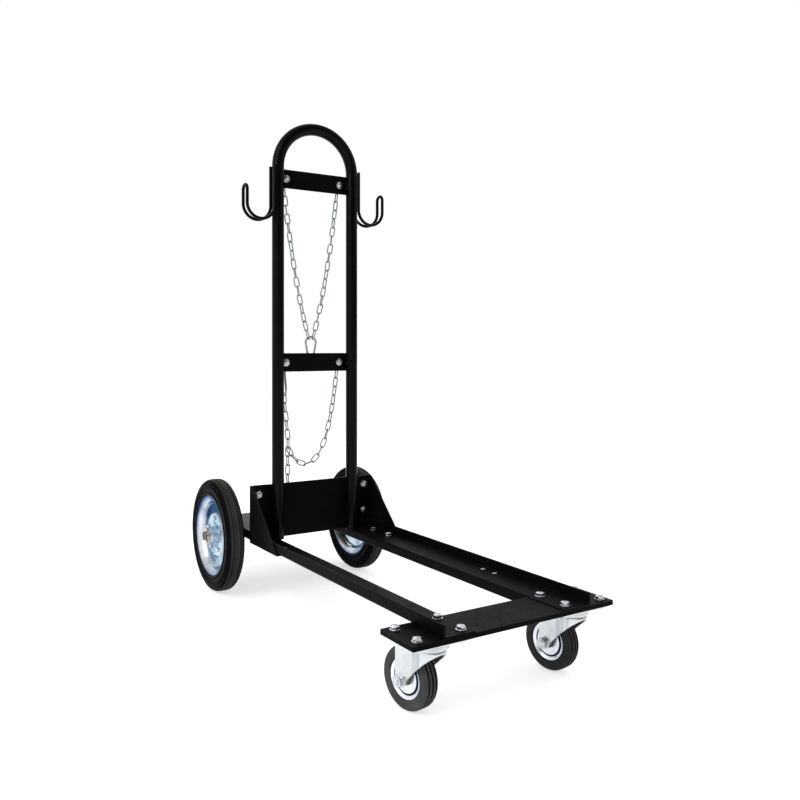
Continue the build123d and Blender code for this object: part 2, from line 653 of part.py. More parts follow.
def caster_fork():
    """The pressed swivel fork: a head plate with a skirt round its front, two ribbed legs, axle holes."""
    inside = FORK_INSIDE / 2
    outside = inside + FORK_SHEET
    top = CASTER_HEIGHT - FORK_DROP
    rear = CASTER_TRAIL + FORK_END
    legs = fork_plan(outside, 2 * rear, top)
    legs = fillet(legs.faces().sort_by(Axis.Z)[-1].edges(), FORK_BEND)
    legs &= extrude(Plane.YZ * fork_outline(), 2 * outside, both=True)
    legs -= fork_plan(inside, 2 * rear, top - FORK_SHEET)
    ribs = extrude(Plane.YZ * fork_outline(), outside + FORK_RIB_HEIGHT, both=True)
    rib_end = FORK_RIB_START + FORK_RIB_WIDTH
    ribs &= block((-2 * outside, FORK_RIB_START, 0), (2 * outside, rib_end, top - FORK_BEND))
    ribs -= block((-outside, -rear, 0), (outside, rear, top))
    axle = [(0, CASTER_TRAIL, CASTER_DIAMETER / 2)]
    fork = drilled(legs + ribs, axle, (1, 0, 0), CASTER_AXLE_DIAMETER + 2 * THREAD_PLAY, FORK_INSIDE)
    return drilled(fork, [(0, 0, top)], (0, 0, 1), KINGPIN_DIAMETER + 2 * RUNNING_PLAY, FORK_SHEET * 2)


def caster_plate():
    """The bolting plate with the upper ball race under it."""
    plate_z = CASTER_HEIGHT - CASTER_PLATE_THICKNESS
    fork_top = CASTER_HEIGHT - FORK_DROP
    roof = fork_top + BALL_DIAMETER + 2 * SEAT_GAP
    half = (CASTER_PLATE_WIDTH / 2, CASTER_PLATE_DEPTH / 2)
    plate = block((-half[0], -half[1], plate_z), (half[0], half[1], CASTER_HEIGHT))
    plate = fillet(plate.edges().filter_by(Axis.Z), FRONT_PLATE_CORNER)
    race = rod((0, 0, fork_top + 2 * SEAT_GAP), (0, 0, plate_z), RACE_DIAMETER / 2)
    race = chamfer(race.edges().sort_by(Axis.Z)[-1], RACE_WALL)
    race -= rod((0, 0, 0), (0, 0, roof), RACE_DIAMETER / 2 - RACE_WALL)
    spots = [(x * CASTER_HOLES_X / 2, y * CASTER_HOLES_Y / 2, plate_z) for x in (-1, 1) for y in (-1, 1)]
    body = drilled(plate + race, spots, (0, 0, 1), BOLT_HOLE, CASTER_PLATE_THICKNESS * 2)
    return drilled(body, [(0, 0, roof)], (0, 0, 1), KINGPIN_DIAMETER, CASTER_HEIGHT)


def kingpin():
    """The swivel pin, riveted flush into the bolting plate, with its head inside the fork."""
    under = CASTER_HEIGHT - FORK_DROP - FORK_SHEET - SEAT_GAP
    shank = rod((0, 0, under), (0, 0, CASTER_HEIGHT), KINGPIN_DIAMETER / 2)
    return shank + rod((0, 0, under - KINGPIN_HEAD), (0, 0, under), KINGPIN_HEAD_DIAMETER / 2)


def caster_balls():
    """The ring of balls between the bolting plate and the fork."""
    z = CASTER_HEIGHT - FORK_DROP + SEAT_GAP + BALL_DIAMETER / 2
    turns = [360 * step / BALL_COUNT for step in range(BALL_COUNT)]
    return [Rot(0, 0, turn) * Pos(BALL_CIRCLE / 2, 0, z) * Sphere(BALL_DIAMETER / 2) for turn in turns]


def caster_axle():
    """The axle bolt with its head on the right leg and its nut on the left leg."""
    outside = FORK_INSIDE / 2 + FORK_SHEET
    length = 2 * outside + CASTER_AXLE_NUT + BOLT_TAIL
    seat = Plane(origin=(outside, CASTER_TRAIL, CASTER_DIAMETER / 2), z_dir=(-1, 0, 0)).location
    screw = bolt(CASTER_AXLE_DIAMETER, CASTER_AXLE_HEX, CASTER_AXLE_HEAD, length)
    cap = Pos(0, 0, 2 * outside) * nut(CASTER_AXLE_DIAMETER, CASTER_AXLE_HEX, CASTER_AXLE_NUT)
    return [seat * screw, seat * cap]


def caster_wheel():
    """The solids of a caster wheel by name, in place on the fork."""
    bush = CASTER_BUSH_DIAMETER / 2
    reach = FORK_INSIDE / 2 - SEAT_GAP
    seat, lip = CASTER_SEAT_DIAMETER / 2, CASTER_RIM_DIAMETER / 2
    half = rim_half(bush, CASTER_BOSS_INNER / 2, CASTER_BOSS_OUTER / 2, CASTER_BOSS_HEIGHT,
                    seat, lip, CASTER_RIM_SHEET, CASTER_RIM_FLANK, CASTER_TYRE_WIDTH)
    sleeve = ring((-reach, 0, 0), (reach, 0, 0), bush, CASTER_AXLE_DIAMETER / 2 + RUNNING_PLAY)
    solids = {
        "tyre": [tyre(CASTER_DIAMETER / 2, seat, lip, CASTER_RIM_SHEET, CASTER_RIM_FLANK, CASTER_TYRE_WIDTH)],
        "rim": [half, mirrored(half)],
        "bush": [sleeve],
    }
    place = Pos(0, CASTER_TRAIL, CASTER_DIAMETER / 2)
    return {name: [place * solid for solid in group] for name, group in solids.items()}


# Safety chains

def chain_link():
    """One welded link in the XZ plane, long along Z."""
    radius = (LINK_GAP + LINK_WIRE) / 2
    half = (LINK_INSIDE + LINK_WIRE) / 2 - radius
    right = Line((radius, 0, -half), (radius, 0, half))
    top = ThreePointArc((radius, 0, half), (0, 0, half + radius), (-radius, 0, half))
    left = Line((-radius, 0, half), (-radius, 0, -half))
    low = ThreePointArc((-radius, 0, -half), (0, 0, -half - radius), (radius, 0, -half))
    return bent_wire([right, top, left, low], LINK_WIRE)


def strand(points, first_roll, last_roll, twist=0):
    """Links from point to point, each a quarter past the last, the rest of the twist spread evenly."""
    count = len(points) - 1
    spread = (last_roll - first_roll - 90 * (count - 1)) % 180 + twist
    step = 90 + (spread / (count - 1) if count > 1 else 0)
    plain = chain_link()
    links = []
    for index, (start, end) in enumerate(zip(points, points[1:])):
        along = Vector(*start) - Vector(*end)
        middle = (Vector(*start) + Vector(*end)) / 2
        seat = Plane(origin=middle, x_dir=Vector(0, 1, 0).cross(along), z_dir=along)
        links.append(seat.location * Rot(0, 0, first_roll + index * step) * plain)
    return links


def straight(start, end, count):
    """Points at even steps from start to end."""
    return [tuple(a + (b - a) * step / count for a, b in zip(start, end)) for step in range(count + 1)]


def swag(left, right, count):
    """Points of a chain of whole links that hangs freely between two ends."""
    span, rise, length = right[0] - left[0], right[2] - left[2], count * PITCH
    ratio = math.sqrt(length ** 2 - rise ** 2) / span
    low, high = 0.001, 20.0
    for halving in range(60):
        middle = (low + high) / 2
        low, high = (middle, high) if math.sinh(middle) / middle < ratio else (low, middle)
    size = span / (2 * low)
    bottom = (left[0] + right[0]) / 2 - size * math.atanh(rise / length)
    start = math.sinh((left[0] - bottom) / size)
    points = []
    for step in range(count + 1):
        slope = start + step * PITCH / size
        x = bottom + size * math.asinh(slope)
        z = left[2] + size * (math.sqrt(1 + slope ** 2) - math.sqrt(1 + start ** 2))
        y = left[1] + (right[1] - left[1]) * step / count
        points.append((x, y, z))
    return points


def chain_start(side, bar_z):
    """Where a chain's first link hangs on its bolt, and where that link ends."""
    x = side * CROSSBAR_BOLT_SPACING / 2
    top = bar_z + SMALL_BOLT / 2 + LINK_PLAY / 2
    return (x, CHAIN_Y, top), (x, CHAIN_Y, top - PITCH)


def snap_sides():
    """Unit directions of a snap hook's gate side: outward from it, and up along it."""
    lean = math.asin((SNAP_WIDE - SNAP_NARROW) / SNAP_REACH)
    return Vector(math.cos(lean), 0, -math.sin(lean)), Vector(math.sin(lean), 0, math.cos(lean))


def snap_pivot():
    """The gate's hinge pin, in the snap hook's own frame."""
    outward, upward = snap_sides()
    return Vector(0, 0, -SNAP_REACH) + outward * SNAP_NARROW + upward * SNAP_END


def snap_hook():
    """A pear-shaped wire hook, wide end up round the origin, slotted at one end for its gate's tongue."""
    outward, upward = snap_sides()
    nose = outward * SNAP_WIDE
    foot = Vector(0, 0, -SNAP_REACH) + outward * SNAP_NARROW
    back_top, back_foot = Vector(-nose.X, 0, nose.Z), Vector(-foot.X, 0, foot.Z)
    wide = ThreePointArc(nose, (0, 0, SNAP_WIDE), back_top)
    back = Line(back_top, back_foot)
    narrow = ThreePointArc(back_foot, (0, 0, -SNAP_REACH - SNAP_NARROW), foot)
    end = Line(foot, foot + upward * 2 * SNAP_END)
    pivot = snap_pivot()
    half = Vector(0, SNAP_SLOT / 2, 0)
    slot = rod(pivot - half, pivot + half, SNAP_END + SNAP_PIN / 2 + SEAT_GAP)
    reach = Vector(0, SNAP_WIRE / 2, 0)
    pin = rod(pivot - reach, pivot + reach, SNAP_PIN / 2)
    return bent_wire([wide, back, narrow, end], SNAP_WIRE) - slot + pin


def snap_gate():
    """The snap hook's gate: a round bar with a flat tongue on the hinge pin."""
    outward, upward = snap_sides()
    pivot = snap_pivot()
    reach = (outward * SNAP_WIDE - pivot).dot(upward) - SNAP_GATE_GAP
    start = math.hypot(SNAP_END, SNAP_WIRE / 2) + SEAT_GAP
    half = SNAP_TONGUE / 2
    bar = rod((0, 0, start), (0, 0, reach), SNAP_GATE / 2)
    tongue = block((-SNAP_GATE / 2 + SEAT_GAP, -half, 0), (SNAP_GATE / 2 - SEAT_GAP, half, start + half))
    eye = rod((0, -half, 0), (0, half, 0), SNAP_END - SEAT_GAP)
    bore = rod((0, -SNAP_WIRE, 0), (0, SNAP_WIRE, 0), SNAP_PIN / 2 + RUNNING_PLAY)
    seat = Plane(origin=pivot, x_dir=outward, z_dir=upward)
    return seat.location * (bar + tongue + eye - bore)


def snap_clearance(bend, offset):
    """How far a link's end lies from the wire of a snap hook, that far off the middle of its bend."""
    tilt = math.asin(offset / bend)
    return SNAP_WIRE / 2 / math.cos(tilt) + LINK_WIRE / 2 * math.tan(tilt) + LINK_PLAY / 2


def upper_chain():
    """Links of the two upper strands and the place of the snap hook that joins them."""
    grip = UPPER_STRAND_SPREAD / 2
    links = []
    for name, side in SIDES:
        hung, start = chain_start(side, UPPER_CROSSBAR_Z)
        reach = UPPER_STRAND_LINKS * PITCH - UPPER_STRAND_SLACK
        drop = math.sqrt(reach ** 2 - (start[0] - side * grip) ** 2)
        end = (side * grip, CHAIN_Y, start[2] - drop)
        ends = (start, end) if side < 0 else (end, start)
        points = swag(*ends, UPPER_STRAND_LINKS)[::-side]
        links += strand(points, 90, 90, side * UPPER_STRAND_TWIST)
    wire_z = end[2] + snap_clearance(SNAP_WIDE, grip)
    return links, Pos(0, CHAIN_Y, wire_z - math.sqrt(SNAP_WIDE ** 2 - grip ** 2))


def lower_chain():
    """Links of the lower strand, swag and tail, and the place of the snap hook that they hang on."""
    hung, start = chain_start(-1, MIDDLE_CROSSBAR_Z)
    wide_z = start[2] + snap_clearance(SNAP_NARROW, 0) - SNAP_NARROW - SNAP_REACH
    clipped = (start[0], CHAIN_Y, wide_z - SNAP_WIDE + snap_clearance(SNAP_WIDE, 0))
    drop = math.sqrt((LOWER_STRAND_LINKS * PITCH) ** 2 - LOWER_STRAND_LEAN ** 2)
    shared = (clipped[0] + LOWER_STRAND_LEAN, CHAIN_Y, clipped[2] - drop)
    links = strand(straight(clipped, shared, LOWER_STRAND_LINKS), 0, 0)
    split = (shared[0], CHAIN_Y, shared[2] - PITCH)
    links += strand([shared, split], 90, 90)
    apart = (LINK_WIRE + SEAT_GAP) / 2
    free = LINK_GAP / 2 - LINK_WIRE / 2 - LINK_PLAY / 2
    raised = free - math.sqrt(free ** 2 - apart ** 2)
    tail = (split[0], CHAIN_Y + apart, split[2] + raised)
    tail_end = (tail[0], tail[1], tail[2] - TAIL_LINKS * PITCH)
    links += strand(straight(tail, tail_end, TAIL_LINKS), 0, 90 * (TAIL_LINKS - 1))
    left = (split[0] - LINK_WIRE / 3, CHAIN_Y - apart, split[2] + LINK_PLAY)
    hung, right = chain_start(1, MIDDLE_CROSSBAR_Z)
    links += strand(swag(left, right, SWAG_LINKS), 0, 90)
    return links, Pos(start[0], CHAIN_Y, wide_z) * Rot(0, 0, 90) * Rot(180, 0, 0)


def chain_ends():
    """The four links that hang on the crossbar bolts."""
    starts = [chain_start(side, z) for z in (UPPER_CROSSBAR_Z, MIDDLE_CROSSBAR_Z) for name, side in SIDES]
    return [link for start in starts for link in strand(list(start), 0, 0)]


def chain_bolts():
    """Crossbar bolts, washers and nuts: head and washer in front, nut, link, washer and nut behind."""
    grip = CROSSBAR_THICKNESS + SMALL_NUT
    link_space = LINK_WIRE + LINK_PLAY
    far_nut = grip + 2 * SMALL_WASHER_THICKNESS + link_space
    length = SMALL_WASHER_THICKNESS + far_nut + SMALL_NUT + HEX_CHAMFER
    plain = washer(SMALL_WASHER_DIAMETER, SMALL_BOLT + 2 * THREAD_PLAY, SMALL_WASHER_THICKNESS)
    bolts, washers, nuts = [], [], []
    for z in (UPPER_CROSSBAR_Z, MIDDLE_CROSSBAR_Z):
        for spot in bar_spots(z, BACK_FACE_Y):
            seat = Plane(origin=spot, z_dir=(0, 1, 0)).location
            front = seat * Pos(0, 0, -SMALL_WASHER_THICKNESS)
            bolts.append(front * bolt(SMALL_BOLT, SMALL_HEX, SMALL_HEAD, length))
            rests = (-SMALL_WASHER_THICKNESS, grip, grip + SMALL_WASHER_THICKNESS + link_space)
            washers += [seat * Pos(0, 0, rest) * plain for rest in rests]
            nuts += [seat * Pos(0, 0, rest) * nut(SMALL_BOLT, SMALL_HEX, SMALL_NUT)
                     for rest in (CROSSBAR_THICKNESS, far_nut)]
    return bolts, washers, nuts


# Frame nodes
write("front_plate", front_plate())
write_pair("rail", rail())
write("cylinder_platform", cylinder_platform())
write("back_plate", back_plate())
write_pair("gusset", gusset())
write("handle_hoop", handle_hoop())
write("upper_crossbar", crossbar(UPPER_CROSSBAR_Z))
write("middle_crossbar", crossbar(MIDDLE_CROSSBAR_Z))
write("right_cable_hook", cable_hook(HOOK_TOP + RIGHT_HOOK_RAISE))
write("left_cable_hook", mirrored(cable_hook(HOOK_TOP)))
write("weld_beads", *hoop_beads(), *platform_beads())
write_pair("axle_bracket", axle_bracket())
write_pair("stub_axle", stub_axle())
washers_right = axle_washers()
write("axle_washers", *washers_right, *[mirrored(piece) for piece in washers_right])
write("split_pins", split_pin(), mirrored(split_pin()))

# Frame and caster bolts
DOWN = (0, 0, -1)
frame_sets = []
caster_sets = []
for name, side in SIDES:
    inner_spots = caster_spots(side, SHELF_Z)[:2]
    outer_spots = caster_spots(side, RAIL_Z)[2:]
    caster_grip = FRONT_PLATE_THICKNESS + CASTER_PLATE_THICKNESS
    caster_sets.append(bolted(inner_spots, DOWN, caster_grip + SHEET))
    caster_sets.append(bolted(outer_spots, DOWN, caster_grip))
    frame_sets.append(bolted(foot_spots(side, SHELF_Z), DOWN, 2 * SHEET))
    frame_sets.append(bolted(back_spots(side, BACK_FACE_Y), (0, 1, 0), BACK_PLATE_THICKNESS + SHEET))
    bracket_x = RAIL_X + AXLE_BRACKET_THICKNESS
    frame_sets.append(bolted(axle_spots(side, bracket_x), (-side, 0, 0), AXLE_BRACKET_THICKNESS + SHEET))
write("frame_bolts", *[piece for bolts, washers, nuts in frame_sets for piece in bolts])
write("caster_bolts", *[piece for bolts, washers, nuts in caster_sets for piece in bolts])
write("bolt_washers", *[piece for bolts, washers, nuts in frame_sets + caster_sets for piece in washers])
write("frame_nuts", *[piece for bolts, washers, nuts in frame_sets + caster_sets for piece in nuts])
for name, pieces in zip(("bolts", "washers", "nuts"), chain_bolts()):
    write(f"crossbar_{name}", *pieces)

# Casters
for (name, side), turn in zip(SIDES, (LEFT_CASTER_TURN, RIGHT_CASTER_TURN)):
    fixed = Pos(side * CASTER_SPACING / 2, CASTER_Y, 0)
    swung = fixed * Rot(0, 0, turn)
    write(f"{name}_caster_plate", fixed * caster_plate())
    write(f"{name}_caster_kingpin", fixed * kingpin())
    write(f"{name}_caster_fork", swung * caster_fork())
    write(f"{name}_caster_axle", *[swung * piece for piece in caster_axle()])
    for piece, solids in caster_wheel().items():
        write(f"{name}_caster_{piece}", *[swung * solid for solid in solids])
write("caster_balls", *[Pos(side * CASTER_SPACING / 2, CASTER_Y, 0) * ball
                        for name, side in SIDES for ball in caster_balls()])

# Rear wheels
wheel_tyre = tyre(WHEEL_DIAMETER / 2, WHEEL_SEAT_DIAMETER / 2, WHEEL_RIM_DIAMETER / 2, WHEEL_RIM_SHEET,
                  WHEEL_RIM_FLANK, WHEEL_TYRE_WIDTH)
outer_rim = rear_rim()
place = Pos(WHEEL_X, AXLE_Y, AXLE_Z)
write_pair("wheel_tyre", place * wheel_tyre)
write_pair("wheel_rim_outer", place * outer_rim)
write_pair("wheel_rim_inner", place * mirrored(outer_rim))
write_pair("wheel_hub", place * hub_tube())
write_pair("wheel_bearing", place * hub_bearing())
for name, side in SIDES:
    pieces = [place * piece for piece in rim_bolts()]
    write(f"{name}_wheel_bolts", *[piece if side > 0 else mirrored(piece) for piece in pieces])

# Chains
write("chain_end_links", *chain_ends())
for level, (links, seat) in (("upper", upper_chain()), ("lower", lower_chain())):
    write(f"{level}_chain", *links)
    write(f"{level}_snap_hook", seat * snap_hook())
    write(f"{level}_snap_gate", seat * snap_gate())
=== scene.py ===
import json
import math

import bmesh
import bpy
import numpy as np
from mathutils import Matrix, Vector

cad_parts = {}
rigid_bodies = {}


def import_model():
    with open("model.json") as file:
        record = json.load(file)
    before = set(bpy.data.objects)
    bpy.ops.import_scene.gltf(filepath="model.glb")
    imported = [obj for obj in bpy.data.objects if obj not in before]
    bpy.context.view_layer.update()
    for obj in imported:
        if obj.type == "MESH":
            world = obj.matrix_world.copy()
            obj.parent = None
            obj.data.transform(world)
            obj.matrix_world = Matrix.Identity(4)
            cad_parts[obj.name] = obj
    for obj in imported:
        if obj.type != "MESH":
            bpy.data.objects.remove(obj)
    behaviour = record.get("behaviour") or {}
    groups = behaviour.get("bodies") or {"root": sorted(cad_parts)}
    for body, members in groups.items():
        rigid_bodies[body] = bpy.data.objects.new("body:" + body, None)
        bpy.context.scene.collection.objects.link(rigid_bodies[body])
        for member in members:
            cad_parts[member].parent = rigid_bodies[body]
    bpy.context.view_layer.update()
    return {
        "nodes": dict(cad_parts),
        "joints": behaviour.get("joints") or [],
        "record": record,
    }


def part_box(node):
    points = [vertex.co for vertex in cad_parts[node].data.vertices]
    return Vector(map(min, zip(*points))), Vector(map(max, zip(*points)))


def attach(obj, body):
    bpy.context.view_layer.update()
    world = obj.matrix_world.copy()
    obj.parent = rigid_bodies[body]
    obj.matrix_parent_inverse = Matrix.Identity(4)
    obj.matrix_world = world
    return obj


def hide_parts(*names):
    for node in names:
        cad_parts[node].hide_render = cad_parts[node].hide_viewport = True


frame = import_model()
NODES = frame["nodes"]
RECORD = frame["record"]
JOINTS = {joint["name"]: joint for joint in frame["joints"]}
BODY_OF = {node: body for body, group in RECORD["behaviour"]["bodies"].items() for node in group}
SIDES = ("left", "right")
MM = 0.001
SAME_POINT = 2e-6
SMOOTH_BELOW, FLAT_BELOW, CHAMFER_ABOVE = math.radians(35), math.radians(0.5), math.radians(40)


def axle_place(joint):
    """A frame at a wheel's middle with X along its axle."""
    along = Vector(JOINTS[joint]["axis"])
    return Matrix.Translation(JOINTS[joint]["pos_m"]) @ Matrix.Rotation(math.atan2(along.y, along.x), 4, "Z")


class Tree:
    """A node tree under construction."""

    def __init__(self, tree):
        self.tree = tree

    def feed(self, socket, value):
        """Another node's socket is linked, a constant is set."""
        if isinstance(value, bpy.types.NodeSocket):
            self.tree.links.new(value, socket)
        else:
            socket.default_value = value

    def add(self, kind, values=None, **settings):
        """A node with its settings and inputs; a list feeds several sockets into one input."""
        node = self.tree.nodes.new(kind)
        for label, value in settings.items():
            setattr(node, label, value)
        for label, value in (values or {}).items():
            for source in value if isinstance(value, list) else [value]:
                self.feed(node.inputs[label], source)
        return node

    def calc(self, operation, first, second, **settings):
        """Two values combined by an operation."""
        values = {0: first, 1: second}
        return self.add("ShaderNodeMath", values, operation=operation, **settings).outputs["Value"]


# Finishes: every pattern lies on Object coordinates, so it stays with its piece when that moves

NOISE_SPAN = (0.3, 0.7)
MIX_SHARE, MIX_FIRST, MIX_SECOND, MIX_RESULT = 0, 6, 7, 2  # the Mix node's sockets for colours
WHITE = (1, 1, 1, 1)
PLAIN = (1.0, 1.0, 1.0)


class Finish(Tree):
    """A node material under construction, with its Principled shader at hand."""

    def __init__(self, name):
        self.material = bpy.data.materials.new(name)
        self.material.use_nodes = True
        super().__init__(self.material.node_tree)
        self.shader = self.tree.nodes["Principled BSDF"]
        self.place = self.add("ShaderNodeTexCoord").outputs["Object"]

    def set(self, **values):
        """Inputs of the shader, with underscores for the spaces in their names."""
        for label, value in values.items():
            self.feed(self.shader.inputs[label.replace("_", " ")], value)

    def stretched(self, scale):
        """Object coordinates scaled along each axis."""
        return self.add("ShaderNodeMapping", {"Vector": self.place, "Scale": scale}).outputs["Vector"]

    def grain(self, scale, detail=3.0, rough=0.55, place=None):
        """Noise in fine or coarse patches."""
        values = {"Vector": place or self.place, "Scale": scale, "Detail": detail, "Roughness": rough}
        return self.add("ShaderNodeTexNoise", values).outputs["Fac"]

    def spread(self, value, low, high, at=NOISE_SPAN):
        """A value's usual span mapped onto another one."""
        values = {"Value": value, "From Min": at[0], "From Max": at[1], "To Min": low, "To Max": high}
        return self.add("ShaderNodeMapRange", values).outputs["Result"]

    def tint(self, value, low, high, at=NOISE_SPAN):
        """Two colours blended over a value's usual span."""
        node = self.add("ShaderNodeValToRGB", {"Fac": value})
        ends = node.color_ramp.elements
        ends[0].position, ends[1].position = at
        ends[0].color, ends[1].color = (*low, 1), (*high, 1)
        return node.outputs["Color"]

    def around(self, place):
        """Coordinates in an axle's own frame, X along it."""
        middle, turn = tuple(place.translation), tuple(place.to_euler())
        values = {"Vector": self.place, "Location": middle, "Rotation": turn}
        return self.add("ShaderNodeMapping", values, vector_type="TEXTURE").outputs["Vector"]

    def rise(self, place, reach):
        """From 0 to 1 across an axle's height, over a reach in millimetres to each side."""
        up = self.add("ShaderNodeSeparateXYZ", {"Vector": self.around(place)}).outputs["Z"]
        return self.spread(up, 0.0, 1.0, (-reach * MM, reach * MM))

    def zones(self, place, reach, colours):
        """Colours by distance from an axle, as (radius in millimetres, colour) pairs."""
        across = {0: self.around(place), 1: (0, 1, 1)}
        spoke = self.add("ShaderNodeVectorMath", across, operation="MULTIPLY").outputs["Vector"]
        radius = self.add("ShaderNodeVectorMath", {0: spoke}, operation="LENGTH").outputs["Value"]
        ramp = self.add("ShaderNodeValToRGB", {"Fac": self.spread(radius, 0.0, 1.0, (0.0, reach * MM))})
        stops = ramp.color_ramp.elements
        stops[0].color, stops[1].color = (*colours[0][1], 1), (*colours[-1][1], 1)
        for distance, colour in colours:
            stops.new(distance / reach).color = (*colour, 1)
        return ramp.outputs["Color"]

    def mixed(self, first, second, share=1.0, kind="MIX"):
        """Two colours in one."""
        values = {MIX_SHARE: share, MIX_FIRST: first, MIX_SECOND: second}
        return self.add("ShaderNodeMix", values, data_type="RGBA", blend_type=kind).outputs[MIX_RESULT]

    def mottled(self, colour, shade):
        """A colour multiplied by a cloudy shade."""
        return self.mixed(colour, shade, kind="MULTIPLY")

    def relief(self, height, strength, depth, over=None):
        """Bumps, on top of other bumps where given."""
        values = {"Height": height, "Strength": strength, "Distance": depth}
        if over is not None:
            values["Normal"] = over
        return self.add("ShaderNodeBump", values).outputs["Normal"]


def powder_coat(name, dark, pale, roughness, gloss):
    """Semi-gloss black powder coat: a fine orange-peel skin, cloudy sheen and faint handling marks."""
    coat = Finish(name)
    cloud = coat.grain(7.0, detail=4.0, rough=0.6)
    marks = coat.grain(90.0, detail=4.0, rough=0.6, place=coat.stretched((1, 0.6, 0.8)))
    coat.set(Base_Color=coat.tint(cloud, dark, pale), Specular_IOR_Level=gloss)
    coat.set(Roughness=coat.calc("ADD", coat.spread(cloud, -0.04, 0.04), coat.spread(marks, *roughness)))
    peel = coat.relief(coat.grain(520.0, detail=2.0), strength=0.22, depth=0.0004)
    coat.set(Normal=coat.relief(coat.grain(1900.0, detail=1.0), strength=0.12, depth=0.0002, over=peel))
    return coat.material


def zinc_plate(name, dark, pale, roughness, scale):
    """Zinc plating: cloudy passivation and drawn marks."""
    zinc = Finish(name)
    zinc.set(Metallic=1.0)
    cloud = zinc.grain(scale, detail=5.0, rough=0.6)
    zinc.set(Base_Color=zinc.tint(cloud, dark, pale))
    streak = zinc.grain(scale * 9, detail=4.0, rough=0.65, place=zinc.stretched((1, 1, 0.22)))
    zinc.set(Roughness=zinc.spread(streak, *roughness))
    zinc.set(Normal=zinc.relief(zinc.grain(scale * 30, detail=2.0), strength=0.1, depth=0.0003))
    return zinc.material


RIM_REACH, DISH_REACH, TYRE_REACH = 92, 33, 128  # how far the colour zones go, in millimetres
# The rim's painted reflections turn from the dark upper rings to the bright lower ones over this height.
RIM_PAINTED_SHADE_CHANGE = 52  # half the height over which the rim's colours change, in millimetres


def rim_plate_with_painted_reflections(name, place):
    """Blue passivated zinc of a pressed rim with painted reflections: dark blue and pale rings over the upper
    half, bright and creamy over the lower half, and painted shade where the rim meets the tyre.
    """
    zinc = Finish(name)
    zinc.set(Metallic=1.0, Specular_Tint=(0.56, 0.70, 0.86, 1))
    # Painted reflection and shade over a real blue passivated tone: the upper half dark blue with a pale lip,
    # the lower half bright, and both darker next to the tyre.
    painted_dark_upper_rings = [(19, (0.34, 0.44, 0.52)), (29, (0.42, 0.54, 0.63)), (46, (0.58, 0.70, 0.78)),
             (53, (0.012, 0.04, 0.11)), (70, (0.010, 0.034, 0.10)), (74, (0.40, 0.50, 0.62)),
             (78, (0.80, 0.84, 0.86)), (83, (0.50, 0.56, 0.66)), (87, (0.09, 0.13, 0.31)),
             (90, (0.04, 0.06, 0.17))]
    painted_bright_lower_rings = [(19, (0.40, 0.50, 0.56)), (29, (0.70, 0.82, 0.87)), (46, (0.88, 0.95, 0.96)),
             (53, (0.58, 0.70, 0.76)), (70, (0.70, 0.82, 0.88)), (78, (0.98, 0.97, 0.94)),
             (86, (0.84, 0.86, 0.87)), (90, (0.22, 0.28, 0.42))]
    # The painted reflection changes from the lower colours to the upper ones by height on the wheel, with a
    # cloudy shift.
    drift = zinc.spread(zinc.grain(11.0, detail=3.0, rough=0.6), -0.2, 0.5)
    share = zinc.calc("ADD", zinc.rise(place, RIM_PAINTED_SHADE_CHANGE), drift, use_clamp=True)
    bands = zinc.mixed(zinc.zones(place, RIM_REACH, painted_bright_lower_rings), zinc.zones(place, RIM_REACH, painted_dark_upper_rings), share)
    mottle = zinc.tint(zinc.grain(24.0, detail=4.0, rough=0.6), (0.5, 0.53, 0.57), PLAIN, (0.34, 0.66))
    zinc.set(Base_Color=zinc.mottled(bands, mottle))
    zinc.set(Roughness=zinc.spread(zinc.grain(200.0, detail=4.0, rough=0.65), 0.12, 0.26))
    skin = zinc.relief(zinc.grain(38.0, detail=3.0), strength=0.35, depth=0.0012)
    zinc.set(Normal=zinc.relief(zinc.grain(700.0, detail=2.0), strength=0.08, depth=0.0003, over=skin))
    return zinc.material


def dish_plate_with_painted_shade(name, place):
    """Bright zinc of a caster dish with a pale lip. Painted shade makes a deep blue ring in the pressed
    hollow just inside the lip, and the bore is a darker bluish grey.
    """
    zinc = Finish(name)
    zinc.set(Metallic=1.0)
    # The deep blue ring is painted shade in the hollow inside the lip.
    pale, painted_shade_groove, lip = (0.86, 0.89, 0.92), (0.02, 0.09, 0.20), (0.93, 0.95, 0.97)
    bore = (0.40, 0.50, 0.56)
    bands = [(9.4, bore), (11.5, pale), (23.0, pale), (23.8, painted_shade_groove), (26.4, painted_shade_groove), (27.2, lip)]
    cloud = zinc.tint(zinc.grain(60.0, detail=4.0, rough=0.6), (0.80, 0.83, 0.86), PLAIN)
    zinc.set(Base_Color=zinc.mottled(zinc.zones(place, DISH_REACH, bands), cloud))
    zinc.set(Roughness=zinc.spread(zinc.grain(300.0, detail=4.0, rough=0.65), 0.22, 0.36))
    zinc.set(Normal=zinc.relief(zinc.grain(900.0, detail=2.0), strength=0.1, depth=0.0003))
    return zinc.material


class Rubber(Finish):
    """Moulded rubber: a dull skin with a bloom in patches and a fine mould grain."""

    def __init__(self, name, roughness, gloss, relief):
        super().__init__(name)
        self.bloom = self.grain(16.0, detail=5.0, rough=0.65)
        wiped = self.spread(self.grain(140.0, detail=4.0, rough=0.7), -0.05, 0.05)
        self.set(Roughness=self.calc("ADD", self.spread(self.bloom, *roughness), wiped))
        self.set(Normal=self.relief(self.grain(1400.0, detail=2.0), strength=relief, depth=0.0003))
        self.set(Specular_IOR_Level=gloss)


